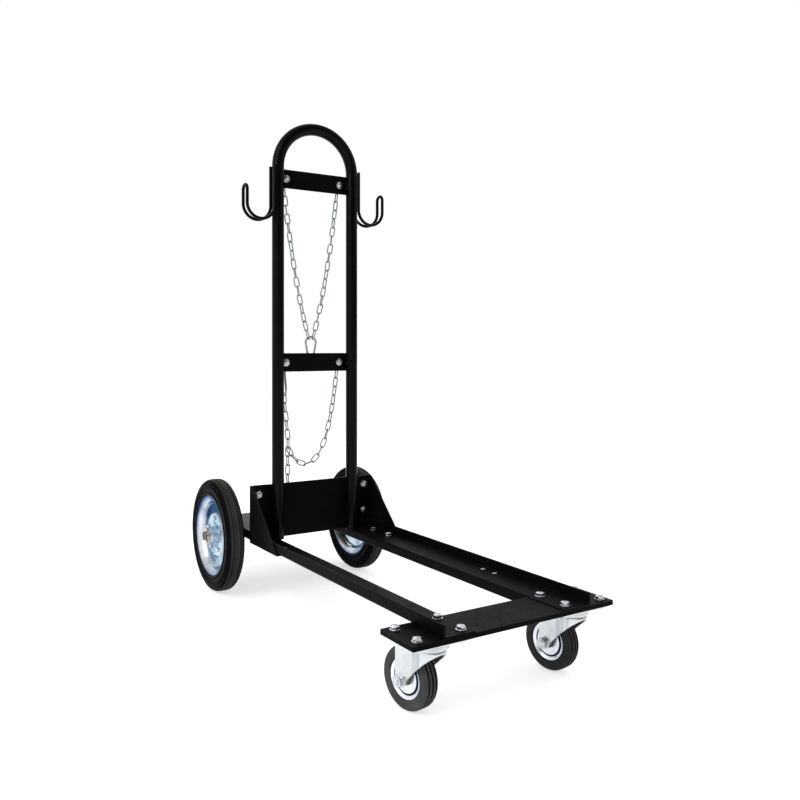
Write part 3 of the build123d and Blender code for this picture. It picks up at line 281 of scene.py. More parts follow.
def tyre_rubber_with_painted_highlights(name, place):
    """Black tyre rubber: dark side walls, pale rings on the ridges that are painted highlights, and a paler
    tread.
    """
    skin = Rubber(name, roughness=(0.24, 0.38), gloss=0.006, relief=0.14)
    # The pale rings on the side wall ridges are painted highlights.
    wall, painted_highlight_ridge, tread = (0.0052, 0.0053, 0.0064), (0.13, 0.135, 0.155), (0.056, 0.056, 0.055)
    bands = [(91, wall), (93.2, wall), (94.2, painted_highlight_ridge), (95.4, wall), (102.4, wall), (103.4, painted_highlight_ridge),
             (104.2, wall), (123.6, wall), (126, tread)]
    cloud = skin.tint(skin.bloom, (0.5, 0.5, 0.54), PLAIN)
    skin.set(Base_Color=skin.mottled(skin.zones(place, TYRE_REACH, bands), cloud))
    return skin.material


def rubber(name, dark, pale, roughness, gloss):
    """Rubber of one colour, dark to pale in patches."""
    skin = Rubber(name, roughness, gloss, relief=0.18)
    skin.set(Base_Color=skin.tint(skin.bloom, dark, pale))
    return skin.material


WHEEL_PLACE = axle_place("right_wheel_spin")
BLACK_COAT = powder_coat(
    "black_powder_coat", (0.003, 0.003, 0.0034), (0.0056, 0.0056, 0.0062), (0.40, 0.52), 0.024)
TUBE_COAT = powder_coat(
    "glossy_tube_coat", (0.0018, 0.0019, 0.0026), (0.0036, 0.0038, 0.0050), (0.13, 0.21), 0.07)
WORN_EDGE = powder_coat(
    "rubbed_coat_edge", (0.005, 0.005, 0.0055), (0.012, 0.012, 0.0125), (0.34, 0.46), 0.12)
SCUFFED_COAT = powder_coat(
    "scuffed_platform_coat", (0.04, 0.039, 0.037), (0.085, 0.083, 0.078), (0.45, 0.6), 0.1)
WELD_COAT = powder_coat(
    "coated_weld", (0.0025, 0.0025, 0.0028), (0.005, 0.005, 0.0055), (0.36, 0.48), 0.08)
AXLE_BLACK = powder_coat(
    "oiled_axle_steel", (0.004, 0.0035, 0.003), (0.014, 0.012, 0.010), (0.3, 0.5), 0.2)
RIM_ZINC_WITH_PAINTED_REFLECTIONS = rim_plate_with_painted_reflections("blue_passivated_rim", WHEEL_PLACE)
HUB_ZINC = zinc_plate("blue_hub_zinc", (0.56, 0.67, 0.76), (0.80, 0.88, 0.94), (0.24, 0.38), 45.0)
WASHER_ZINC = zinc_plate("warm_washer_zinc", (0.50, 0.46, 0.41), (0.68, 0.64, 0.58), (0.2, 0.34), 60.0)
CASTER_ZINC = zinc_plate("pale_caster_zinc", (0.60, 0.62, 0.635), (0.74, 0.76, 0.775), (0.3, 0.42), 34.0)
# A darker zinc painted on the fork ribs as shade.
RIB_PAINTED_SHADE_ZINC = zinc_plate("grey_rib_zinc", (0.40, 0.45, 0.47), (0.56, 0.61, 0.63), (0.26, 0.38), 34.0)
DISH_ZINC_WITH_PAINTED_SHADE = {
    side: dish_plate_with_painted_shade(f"{side}_caster_dish_zinc", axle_place(f"{side}_caster_spin")) for side in SIDES
}
BOLT_ZINC = zinc_plate("bright_bolt_zinc", (0.42, 0.45, 0.49), (0.7, 0.72, 0.75), (0.18, 0.32), 90.0)
# Bright steel for the rails' spare hole walls, standing in for a glint there.
HOLE_GLINT_STEEL = zinc_plate("bare_hole_steel", (0.55, 0.56, 0.57), (0.92, 0.93, 0.94), (0.3, 0.5), 160.0)
CHAIN_ZINC = zinc_plate("grey_chain_zinc", (0.26, 0.29, 0.31), (0.48, 0.51, 0.53), (0.28, 0.46), 120.0)
TYRE_RUBBER_WITH_PAINTED_HIGHLIGHTS = tyre_rubber_with_painted_highlights("black_tyre_rubber", WHEEL_PLACE)
# The left caster's rubber is painted paler, as lit, and the right one's darker, as in shade.
CASTER_RUBBER_PAINTED_LIGHT_BY_SIDE = {
    "left": rubber("dusty_caster_rubber", (0.056, 0.056, 0.057), (0.104, 0.104, 0.104), (0.6, 0.78), 0.12),
    "right": rubber("clean_caster_rubber", (0.026, 0.026, 0.027), (0.052, 0.052, 0.053), (0.55, 0.72), 0.1),
}
RIB_RUBBER = rubber("brown_rib_rubber", (0.06, 0.054, 0.047), (0.12, 0.108, 0.094), (0.5, 0.7), 0.02)
# Near-black rubber painted into the caster tread grooves as shade.
GROOVE_PAINTED_SHADE_RUBBER = rubber("dark_groove_rubber", (0.007, 0.007, 0.007), (0.014, 0.014, 0.014), (0.6, 0.8), 0.02)
NYLON = rubber("grey_nylon", (0.16, 0.17, 0.18), (0.24, 0.25, 0.26), (0.35, 0.5), 0.3)


# Making and placing pieces

def as_object(name, mesh, *finishes):
    """A finished mesh as an object at the origin."""
    piece = bpy.data.objects.new(name, mesh)
    bpy.context.scene.collection.objects.link(piece)
    mesh.materials.clear()
    for finish in finishes:
        mesh.materials.append(finish)
    return piece


def stands_for(piece, *nodes):
    """The piece takes the place and the body of the CAD nodes, which are hidden."""
    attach(piece, BODY_OF[nodes[0]])
    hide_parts(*nodes)


def plain_mesh(piece):
    """The piece's modifiers become its mesh."""
    seen = piece.evaluated_get(bpy.context.evaluated_depsgraph_get())
    mesh = bpy.data.meshes.new_from_object(seen)
    piece.modifiers.clear()
    old = piece.data
    piece.data = mesh
    bpy.data.meshes.remove(old)
    return mesh


def shade(mesh):
    """Smooth over gentle bends, crisp at the rest."""
    mesh.shade_smooth()
    mesh.set_sharp_from_angle(angle=SMOOTH_BELOW)


def joined_copy(node):
    """A bmesh of a CAD node with its loose triangles joined at their corners."""
    source = NODES[node].data
    bare = bpy.data.meshes.new(node)
    bare.from_pydata([v.co for v in source.vertices], [], [list(p.vertices) for p in source.polygons])
    shape = bmesh.new()
    shape.from_mesh(bare)
    bpy.data.meshes.remove(bare)
    bmesh.ops.remove_doubles(shape, verts=shape.verts, dist=SAME_POINT)
    return shape


def solids_of(node):
    """The vertices of each separate solid of a CAD node, as arrays."""
    shape = joined_copy(node)
    seen = set()
    solids = []
    for first in shape.verts:
        if first in seen:
            continue
        heap, group = [first], []
        seen.add(first)
        while heap:
            vert = heap.pop()
            group.append(vert.co[:])
            for edge in vert.link_edges:
                other = edge.other_vert(vert)
                if other not in seen:
                    seen.add(other)
                    heap.append(other)
        solids.append(np.array(group))
    shape.free()
    return solids


SECOND_FINISH = 1


def softened(node, width, finish, edge_finish):
    """A copy of a CAD node with small chamfers that carry their own finish."""
    shape = joined_copy(node)
    bmesh.ops.dissolve_limit(shape, angle_limit=FLAT_BELOW, verts=shape.verts, edges=shape.edges)
    mesh = bpy.data.meshes.new(f"{node}_softened")
    shape.to_mesh(mesh)
    shape.free()
    piece = as_object(f"{node}_softened", mesh, finish, edge_finish)
    chamfer = piece.modifiers.new("Edges", "BEVEL")
    chamfer.width = width
    chamfer.segments = 1
    chamfer.limit_method = "ANGLE"
    chamfer.angle_limit = CHAMFER_ABOVE
    chamfer.material = SECOND_FINISH
    chamfer.use_clamp_overlap = False
    shade(plain_mesh(piece))
    stands_for(piece, node)
    return piece


MOST_EASED, EASE_STEPS = 0.45, 3


def rounded_profile(points, radius):
    """A closed profile with each corner eased by a short curve."""
    eased = []
    for index, corner in enumerate(points):
        here = Vector(corner)
        before = Vector(points[index - 1]) - here
        after = Vector(points[(index + 1) % len(points)]) - here
        start = here + before * min(MOST_EASED, radius / before.length)
        end = here + after * min(MOST_EASED, radius / after.length)
        for step in range(EASE_STEPS + 1):
            t = step / EASE_STEPS
            eased.append(start * (1 - t) ** 2 + here * 2 * t * (1 - t) + end * t ** 2)
    return eased


def turned_ring(name, profiles, place, segments, finish):
    """Closed profiles of (across, radius) in millimetres, each spun about the X axis of the place."""
    shape = bmesh.new()
    for profile in profiles:
        rings = []
        for step in range(segments):
            turn = 2 * math.pi * step / segments
            way = Vector((0, math.sin(turn), math.cos(turn)))
            spots = [place @ (Vector((x, 0, 0)) * MM + way * r * MM) for x, r in profile]
            rings.append([shape.verts.new(spot) for spot in spots])
        count = len(profile)
        for step in range(segments):
            one, two = rings[step], rings[(step + 1) % segments]
            for index in range(count):
                after = (index + 1) % count
                shape.faces.new((one[index], one[after], two[after], two[index]))
    bmesh.ops.recalc_face_normals(shape, faces=shape.faces)
    mesh = bpy.data.meshes.new(name)
    shape.to_mesh(mesh)
    shape.free()
    shade(mesh)
    return as_object(name, mesh, finish)


def both_sides(half):
    """A closed profile from its outer half, mirrored about the middle plane."""
    return half + [(-x, r) for x, r in reversed(half)]


# Geometry Nodes recipes for what repeats: links, bolts, nuts, washers and weld ripples

SEWN_WITHIN = 1e-6
OPEN, CLOSED = "NONE", "NGON"
RANDOM_FLOAT = 1  # the Random Value node's output for plain numbers


class Recipe(Tree):
    """A Geometry Nodes tree that grows copies of one shape on points, by some sizes and a finish."""

    def __init__(self, name, sizes, seeded=False):
        super().__init__(bpy.data.node_groups.new(name, "GeometryNodeTree"))
        kinds = {size: "Float" for size in sizes}
        if seeded:
            kinds["Seed"] = "Int"
        kinds["Finish"] = "Material"
        sockets = self.tree.interface
        sockets.new_socket("Points", in_out="INPUT", socket_type="NodeSocketGeometry")
        self.keys = {}
        for label, kind in kinds.items():
            socket = sockets.new_socket(label, in_out="INPUT", socket_type=f"NodeSocket{kind}")
            self.keys[label] = socket.identifier
        sockets.new_socket("Geometry", in_out="OUTPUT", socket_type="NodeSocketGeometry")
        self.given = self.add("NodeGroupInput").outputs
        self.result = self.add("NodeGroupOutput").inputs["Geometry"]

    def at_height(self, mesh, height):
        """The shape raised to a height."""
        offset = self.add("ShaderNodeCombineXYZ", {"Z": height}).outputs["Vector"]
        values = {"Geometry": mesh, "Translation": offset}
        return self.add("GeometryNodeTransform", values).outputs["Geometry"]

    def prism(self, radius, height, base, corners, ends=CLOSED):
        """A straight shape that stands on a base."""
        sizes = {"Vertices": corners, "Radius": radius, "Depth": height}
        body = self.add("GeometryNodeMeshCylinder", sizes, fill_type=ends).outputs["Mesh"]
        return self.at_height(body, self.calc("ADD", base, self.calc("MULTIPLY", height, 0.5)))

    def cone(self, low, high, height, base, corners, ends=CLOSED):
        """A tapered shape that stands on a base."""
        sizes = {"Vertices": corners, "Radius Bottom": low, "Radius Top": high, "Depth": height}
        return self.at_height(self.add("GeometryNodeMeshCone", sizes, fill_type=ends).outputs["Mesh"], base)

    def lid(self, radius, height, corners, down=False):
        """A flat face at a height that looks up or down."""
        sizes = {"Vertices": corners, "Radius": radius}
        disc = self.add("GeometryNodeMeshCircle", sizes, fill_type=CLOSED).outputs["Mesh"]
        if down:
            disc = self.add("GeometryNodeFlipFaces", {"Mesh": disc}).outputs["Mesh"]
        return self.at_height(disc, height)

    def sealed(self, *shapes):
        """Open walls and lids sewn into one closed shape."""
        values = {"Geometry": self.joined(*shapes), "Distance": SEWN_WITHIN}
        return self.add("GeometryNodeMergeByDistance", values).outputs["Geometry"]

    def attribute(self, name, kind):
        """A value that the points carry."""
        carried = self.add("GeometryNodeInputNamedAttribute", {"Name": name}, data_type=kind)
        return carried.outputs["Attribute"]

    def turn(self):
        """The turn that each point carries."""
        return self.attribute("turn", "QUATERNION")

    def chance(self):
        """A number from 0 to 1 for each point."""
        values = {"Seed": self.given["Seed"]}
        return self.add("FunctionNodeRandomValue", values, data_type="FLOAT").outputs[RANDOM_FLOAT]

    def copies(self, shape, points=None, **turns):
        """A copy of the shape on each point."""
        values = {"Points": points or self.given["Points"], "Instance": shape, **turns}
        return self.add("GeometryNodeInstanceOnPoints", values).outputs["Instances"]

    def joined(self, *shapes):
        return self.add("GeometryNodeJoinGeometry", {"Geometry": list(shapes)}).outputs["Geometry"]

    def finish(self, copies, smooth):
        """The copies as one mesh with its finish, which ends the tree."""
        mesh = self.add("GeometryNodeRealizeInstances", {"Geometry": copies}).outputs["Geometry"]
        if smooth:
            mesh = self.add("GeometryNodeSetShadeSmooth", {"Geometry": mesh}).outputs["Geometry"]
        values = {"Geometry": mesh, "Material": self.given["Finish"]}
        self.tree.links.new(self.add("GeometryNodeSetMaterial", values).outputs["Geometry"], self.result)
        return self

    def grow(self, name, host, sizes, finish, smooth_edges=True):
        """The recipe worked out on a host mesh of points or lines, as a plain mesh."""
        piece = as_object(name, host)
        worker = piece.modifiers.new("Recipe", "NODES")
        worker.node_group = self.tree
        for label, value in {**sizes, "Finish": finish}.items():
            worker[self.keys[label]] = value
        mesh = plain_mesh(piece)
        if smooth_edges:
            shade(mesh)
        mesh.materials.clear()
        mesh.materials.append(finish)
        return piece


def seats_mesh(name, seats, reaches=None):
    """Points that carry a turn each and, where given, a length each."""
    mesh = bpy.data.meshes.new(name)
    mesh.from_pydata([spot.translation for spot in seats], [], [])
    turns = mesh.attributes.new("turn", "QUATERNION", "POINT")
    for index, spot in enumerate(seats):
        turns.data[index].value = spot.to_quaternion()
    if reaches is not None:
        lengths = mesh.attributes.new("reach", "FLOAT", "POINT")
        for index, reach in enumerate(reaches):
            lengths.data[index].value = reach
    return mesh


LINK_BEND = 0.499  # of the width: just under half, for round ends
LINK_BEND_STEPS, LINK_STEPS, WIRE_SIDES = 5, 30, 8
LINK_WELD_REACH = 1.8 * MM


def chain_recipe():
    """Welded links of round wire, long along Y, with a bead where each was closed."""
    links = Recipe("welded_links", ("Wire", "Inside", "Gap", "Weld"))
    given = links.given
    width = links.calc("ADD", given["Gap"], given["Wire"])
    sizes = {"Width": width, "Height": links.calc("ADD", given["Inside"], given["Wire"])}
    outline = links.add("GeometryNodeCurvePrimitiveQuadrilateral", sizes).outputs["Curve"]
    corner = {"Curve": outline, "Radius": links.calc("MULTIPLY", width, LINK_BEND), "Count": LINK_BEND_STEPS}
    bent = links.add("GeometryNodeFilletCurve", corner, mode="POLY").outputs["Curve"]
    even = links.add("GeometryNodeResampleCurve", {"Curve": bent, "Count": LINK_STEPS}).outputs["Curve"]
    spot = links.add("GeometryNodeInputPosition").outputs["Position"]
    axes = links.add("ShaderNodeSeparateXYZ", {"Vector": spot}).outputs
    offset = links.calc("ABSOLUTE", axes["Y"], 0.0)
    swollen = {"Value": offset, "From Max": LINK_WELD_REACH, "To Min": given["Weld"], "To Max": 1.0}
    near = links.add("ShaderNodeMapRange", swollen).outputs["Result"]
    on_side = links.calc("GREATER_THAN", axes["X"], 0.0)
    bead = links.calc("ADD", links.calc("MULTIPLY", on_side, links.calc("SUBTRACT", near, 1.0)), 1.0)
    swell = links.add("GeometryNodeSetCurveRadius", {"Curve": even, "Radius": bead}).outputs["Curve"]
    section = {"Resolution": WIRE_SIDES, "Radius": links.calc("MULTIPLY", given["Wire"], 0.5)}
    round_wire = links.add("GeometryNodeCurvePrimitiveCircle", section).outputs["Curve"]
    scale = links.add("GeometryNodeInputRadius").outputs["Radius"]
    swept = {"Curve": swell, "Profile Curve": round_wire, "Scale": scale}
    link = links.add("GeometryNodeCurveToMesh", swept).outputs["Mesh"]
    return links.finish(links.copies(link, Rotation=links.turn()), True)


HEXAGON, BUTTON_SIDES, SHANK_SIDES, WASHER_SIDES = 6, 12, 14, 32
BUTTON_LOW, BUTTON_HIGH, BUTTON_RISE = 0.8, 0.7, 0.5
WASHER_EASE, WASHER_EASE_STEPS = 0.25, 2


def bolt_recipe():
    """Hexagon bolts that stand head up on their points, each turned a little differently."""
    bolts = Recipe("hexagon_bolts", ("Across flats", "Head", "Chamfer", "Shank"), seeded=True)
    given = bolts.given
    chamfer, top = given["Chamfer"], given["Head"]
    corner = bolts.calc("DIVIDE", given["Across flats"], math.sqrt(3))
    side = bolts.calc("SUBTRACT", top, chamfer)
    crown = bolts.calc("MULTIPLY", given["Across flats"], 0.5)
    hexagon = bolts.sealed(
        bolts.prism(corner, side, 0.0, HEXAGON, OPEN), bolts.lid(corner, 0.0, HEXAGON, down=True),
        bolts.cone(corner, crown, chamfer, side, HEXAGON, OPEN), bolts.lid(crown, top, HEXAGON))
    low, high = (bolts.calc("MULTIPLY", crown, share) for share in (BUTTON_LOW, BUTTON_HIGH))
    button = bolts.cone(low, high, bolts.calc("MULTIPLY", chamfer, BUTTON_RISE), top, BUTTON_SIDES)
    turn = bolts.turn()
    spin = {"Axis": (0, 0, 1), "Angle": bolts.calc("MULTIPLY", bolts.chance(), math.pi)}
    twist = bolts.add("FunctionNodeAxisAngleToRotation", spin).outputs["Rotation"]
    both = {"Rotation": turn, "Rotate By": twist}
    turned = bolts.add("FunctionNodeRotateRotation", both, rotation_space="LOCAL").outputs["Rotation"]
    heads = bolts.copies(bolts.joined(hexagon, button), Rotation=turned)
    stem = bolts.prism(bolts.calc("MULTIPLY", given["Shank"], 0.5), 1.0, -1.0, SHANK_SIDES)
    reach = bolts.add("ShaderNodeCombineXYZ", {"X": 1.0, "Y": 1.0, "Z": bolts.attribute("reach", "FLOAT")})
    stems = bolts.copies(stem, Rotation=turn, Scale=reach.outputs["Vector"])
    return bolts.finish(bolts.joined(heads, stems), False)


def nut_recipe():
    """Hexagon nuts, chamfered on both faces, centred on their points."""
    nuts = Recipe("hexagon_nuts", ("Across flats", "Height", "Chamfer"))
    given = nuts.given
    chamfer = given["Chamfer"]
    corner = nuts.calc("DIVIDE", given["Across flats"], math.sqrt(3))
    crown = nuts.calc("MULTIPLY", given["Across flats"], 0.5)
    middle = nuts.calc("SUBTRACT", given["Height"], nuts.calc("MULTIPLY", chamfer, 2.0))
    low, top = (nuts.calc("MULTIPLY", given["Height"], share) for share in (-0.5, 0.5))
    waist = nuts.calc("ADD", low, chamfer)
    shoulder = nuts.calc("ADD", waist, middle)
    body = nuts.sealed(
        nuts.lid(crown, low, HEXAGON, down=True), nuts.cone(crown, corner, chamfer, low, HEXAGON, OPEN),
        nuts.prism(corner, middle, waist, HEXAGON, OPEN), nuts.lid(crown, top, HEXAGON),
        nuts.cone(corner, crown, chamfer, shoulder, HEXAGON, OPEN))
    return nuts.finish(nuts.copies(body, Rotation=nuts.turn()), False)


def washer_recipe():
    """Punched washers with eased rims, centred on their points."""
    rings = Recipe("punched_washers", ("Outside", "Hole", "Thickness"))
    given = rings.given
    path_radius = rings.calc("MULTIPLY", rings.calc("ADD", given["Outside"], given["Hole"]), 0.25)
    wall = rings.calc("MULTIPLY", rings.calc("SUBTRACT", given["Outside"], given["Hole"]), 0.5)
    circle = {"Resolution": WASHER_SIDES, "Radius": path_radius}
    path = rings.add("GeometryNodeCurvePrimitiveCircle", circle).outputs["Curve"]
    sizes = {"Width": wall, "Height": given["Thickness"]}
    sheet = rings.add("GeometryNodeCurvePrimitiveQuadrilateral", sizes).outputs["Curve"]
    ease = rings.calc("MULTIPLY", given["Thickness"], WASHER_EASE)
    eased = {"Curve": sheet, "Radius": ease, "Count": WASHER_EASE_STEPS}
    edge = rings.add("GeometryNodeFilletCurve", eased, mode="POLY").outputs["Curve"]
    ring = rings.add("GeometryNodeCurveToMesh", {"Curve": path, "Profile Curve": edge}).outputs["Mesh"]
    return rings.finish(rings.copies(ring, Rotation=rings.turn()), False)


RIPPLE_FLATNESS = 0.55
RIPPLE_LEAST, RIPPLE_MOST = 0.82, 1.08


def ripple_recipe():
    """Overlapping weld ripples along a line, each a little larger or smaller than the last."""
    weld = Recipe("weld_ripples", ("Pitch", "Size"), seeded=True)
    given = weld.given
    line = weld.add("GeometryNodeMeshToCurve", {"Mesh": given["Points"]}).outputs["Curve"]
    steps = {"Curve": line, "Length": given["Pitch"]}
    even = weld.add("GeometryNodeResampleCurve", steps, mode="LENGTH").outputs["Curve"]
    spots = weld.add("GeometryNodeCurveToPoints", {"Curve": even}, mode="EVALUATED").outputs
    drop = weld.add("GeometryNodeMeshIcoSphere", {"Radius": given["Size"], "Subdivisions": 2}).outputs["Mesh"]
    pressed = {"Geometry": drop, "Scale": (1.0, 1.0, RIPPLE_FLATNESS)}
    flat = weld.add("GeometryNodeTransform", pressed).outputs["Geometry"]
    span = {"Value": weld.chance(), "To Min": RIPPLE_LEAST, "To Max": RIPPLE_MOST}
    size = weld.add("ShaderNodeMapRange", span).outputs["Result"]
    drops = weld.copies(flat, spots["Points"], Rotation=spots["Rotation"], Scale=size)
    return weld.finish(drops, True)


# Fasteners

AXES = [Vector(axis) for axis in ((1, 0, 0), (0, 1, 0), (0, 0, 1))]


def seat(place, outward):
    """A frame at a place with Z pointing outward."""
    return Matrix.Translation(place) @ outward.to_track_quat("Z", "Y").to_matrix().to_4x4()


def flat_seats(node):
    """Frames at the middles of flat round pieces, Z along each one's short way."""
    seats = []
    for solid in solids_of(node):
        low, high = solid.min(axis=0), solid.max(axis=0)
        seats.append(seat(Vector((low + high) / 2), AXES[int(np.argmin(high - low))]))
    return seats


def bolt_seats(nodes, head):
    """Frames under the bolt heads, Z outward, and how far each shank reaches."""
    seats, reaches = [], []
    for node in nodes:
        for solid in solids_of(node):
            low, high = solid.min(axis=0), solid.max(axis=0)
            way = int(np.argmax(high - low))
            middle = (low + high) / 2
            spread = np.linalg.norm(np.delete(solid - middle, way, axis=1), axis=1)
            side = 1.0 if solid[int(np.argmax(spread)), way] > middle[way] else -1.0
            under = Vector(middle)
            under[way] = (high if side > 0 else low)[way] - side * head
            seats.append(seat(under, AXES[way] * side))
            reaches.append(float(high[way] - low[way]) - head)
    return seats, reaches


HEAD_SHARE, HEAD_CHAMFER, NUT_CHAMFER = 0.94, 0.16, 0.11


def bolt_set(name, nodes, across, head, shank, seed):
    """All the bolts of some nodes as one grown piece."""
    seats, reaches = bolt_seats(nodes, head)
    sizes = {"Across flats": across, "Head": head * HEAD_SHARE, "Chamfer": head * HEAD_CHAMFER,
             "Shank": shank, "Seed": seed}
    piece = BOLTS.grow(name, seats_mesh(name, seats, reaches), sizes, BOLT_ZINC)
    stands_for(piece, *nodes)


BOLTS, NUTS, WASHERS = bolt_recipe(), nut_recipe(), washer_recipe()
BOLT_HEX, BOLT_HEAD, BOLT_NUT, BOLT_SHANK = 13.0 * MM, 5.3 * MM, 4.0 * MM, 8.0 * MM
SMALL_HEX, SMALL_HEAD, SMALL_NUT, SMALL_SHANK = 10.0 * MM, 4.0 * MM, 5.0 * MM, 6.0 * MM
WASHER_OUTSIDE = 17.0 * MM
bolt_set("frame_bolt_set", ["frame_bolts", "caster_bolts"], BOLT_HEX, BOLT_HEAD, BOLT_SHANK, seed=3)
bolt_set("crossbar_bolt_set", ["crossbar_bolts"], SMALL_HEX, SMALL_HEAD, SMALL_SHANK, seed=8)
for node, across, height in (("frame_nuts", BOLT_HEX, BOLT_NUT), ("crossbar_nuts", SMALL_HEX, SMALL_NUT)):
    sizes = {"Across flats": across, "Height": height, "Chamfer": height * NUT_CHAMFER}
    stands_for(NUTS.grow(f"{node}_set", seats_mesh(node, flat_seats(node)), sizes, BOLT_ZINC), node)
for node, hole, thickness in (("bolt_washers", 8.1, 1.6), ("crossbar_washers", 6.1, 1.4)):
    sizes = {"Outside": WASHER_OUTSIDE, "Hole": hole * MM, "Thickness": thickness * MM}
    stands_for(WASHERS.grow(f"{node}_set", seats_mesh(node, flat_seats(node)), sizes, BOLT_ZINC), node)


# Chains

def link_seats(node):
    """Frames of a chain node's links, Y along each link and Z square to it."""
    seats = []
    for solid in solids_of(node):
        spread = solid - solid.mean(axis=0)
        axes = np.linalg.eigh(spread.T @ spread)[1]
        square, along = Vector(axes[:, 0]), Vector(axes[:, 2])
        turn = Matrix((along.cross(square), along, square)).transposed().to_4x4()
        seats.append(Matrix.Translation(Vector(solid.mean(axis=0))) @ turn)
    return seats


LINKS = chain_recipe()
LINK_SIZES = {"Wire": 3.0 * MM, "Inside": 21.2 * MM, "Gap": 7.0 * MM, "Weld": 1.16}
for node in ("upper_chain", "lower_chain", "chain_end_links"):
    host = seats_mesh(node, link_seats(node))
    stands_for(LINKS.grow(f"{node}_links", host, LINK_SIZES, CHAIN_ZINC, smooth_edges=False), node)


# Weld ripples

WELD_INSET = 1.6 * MM
RIPPLE_SIZES = {"Pitch": 1.9 * MM, "Size": 2.5 * MM, "Seed": 5}


def weld_lines(node):
    """A line along the middle of each bead, a little short of its ends."""
    verts, edges = [], []
    for solid in solids_of(node):
        low, high = solid.min(axis=0), solid.max(axis=0)
        way = int(np.argmax(high - low))
        centre = solid.mean(axis=0)
        for end in (low[way] + WELD_INSET, high[way] - WELD_INSET):
            spot = centre.copy()
            spot[way] = end
            verts.append(spot)
        edges.append((len(verts) - 2, len(verts) - 1))
    mesh = bpy.data.meshes.new(node)
    mesh.from_pydata(verts, edges, [])
    return mesh


beads = weld_lines("weld_beads")
ripples = ripple_recipe().grow("weld_bead_ripples", beads, RIPPLE_SIZES, WELD_COAT, smooth_edges=False)
stands_for(ripples, "weld_beads")


# Black frame

SHEET_NODES = ["front_plate", "left_rail", "right_rail", "cylinder_platform", "back_plate",
               "left_gusset", "right_gusset", "upper_crossbar", "middle_crossbar",
               "left_axle_bracket", "right_axle_bracket"]
SHEET_CHAMFER = 0.55 * MM
HOLE_SLACK_MM, STEEP_BELOW = 0.2, 0.5


def glinting_holes(rail, mount):
    """The walls of a rail's spare holes take bright bare steel, which stands in for a glint at the holes."""
    rail.data.materials.append(HOLE_GLINT_STEEL)
    middle, pattern = Vector(mount["pos_m"]), mount["dims"]
    radius = (pattern["hole_r_mm"] + HOLE_SLACK_MM) * MM
    for way in (-1, 1):
        hole = middle + Vector((0, way * pattern["spacing_y_mm"] / 2 * MM, 0))
        for face in rail.data.polygons:
            if (face.center - hole).xy.length < radius and abs(face.normal.z) < STEEP_BELOW:
                face.material_index = len(rail.data.materials) - 1


for node in SHEET_NODES:
    softened(node, SHEET_CHAMFER, SCUFFED_COAT if node == "cylinder_platform" else BLACK_COAT, WORN_EDGE)
for mount in RECORD["mounts"]:
    if mount["kind"] == "bolt_pattern":
        side = mount["name"].split("_")[0]
        glinting_holes(bpy.data.objects[f"{side}_rail_softened"], mount)


# Rear wheels

def rear_tyre_profile():
    """Bead, pressed ring, shoulder crease and ribbed tread of a rear tyre, outer half."""
    return [
        (8.1, 79.2), (15.4, 91.5), (18.0, 91.7), (19.7, 92.3), (20.4, 94.1), (20.2, 95.6),
        (18.4, 97.0), (18.2, 98.2), (19.7, 100.4), (20.2, 103.3), (19.0, 103.9), (18.8, 105.2),
        (19.2, 106.2), (20.4, 106.8), (20.5, 110.5), (20.1, 114.4), (18.3, 115.5), (18.5, 116.8),
        (18.6, 119.8), (16.6, 123.0), (13.4, 125.4), (10.6, 126.6), (9.5, 126.7), (9.2, 125.2),
        (6.8, 125.2), (6.5, 126.9), (3.4, 127.0), (1.5, 127.0), (1.2, 125.3),
    ]


def rear_rim_profile():
    """Pressed sheet of one rim half: hub flange, raised ring, floor, bowl wall and rolled lip."""
    return [
        (0.3, 19.3), (2.5, 19.3), (2.5, 24.2), (6.3, 28.0), (6.6, 31.0), (6.6, 45.0), (6.2, 48.2),
        (2.6, 52.4), (2.5, 69.8), (4.0, 72.6), (7.5, 75.0), (10.6, 76.8), (14.6, 83.0), (17.4, 88.0),
        (18.4, 90.0), (17.9, 91.3), (16.2, 91.2), (15.2, 89.4), (8.1, 79.0), (7.2, 78.4), (0.3, 78.4),
    ]


def refinish(ring, place, finish, across, radius):
    """Faces of a turned ring in a range across its width and a range of radius take another finish."""
    ring.data.materials.append(finish)
    to_wheel = place.inverted()
    for face in ring.data.polygons:
        offset, *spoke = to_wheel @ face.center
        if across[0] < abs(offset) < across[1] and radius[0] < math.hypot(*spoke) < radius[1]:
            face.material_index = len(ring.data.materials) - 1


WHEEL_STEPS, HUB_STEPS, CASTER_STEPS = 120, 64, 96
TYRE_EASE, RIM_EASE, HUB_EASE = 0.7, 1.3, 0.9  # in millimetres, as are all profiles
HUB_HALF, HUB_BORE, HUB_RADIUS = 22, 14.2, 19
RIB_STRIP, RIB_RADIUS = (1.3 * MM, 3.3 * MM), (126.4 * MM, 127.1 * MM)
AXLE_CHAMFER = 0.5 * MM


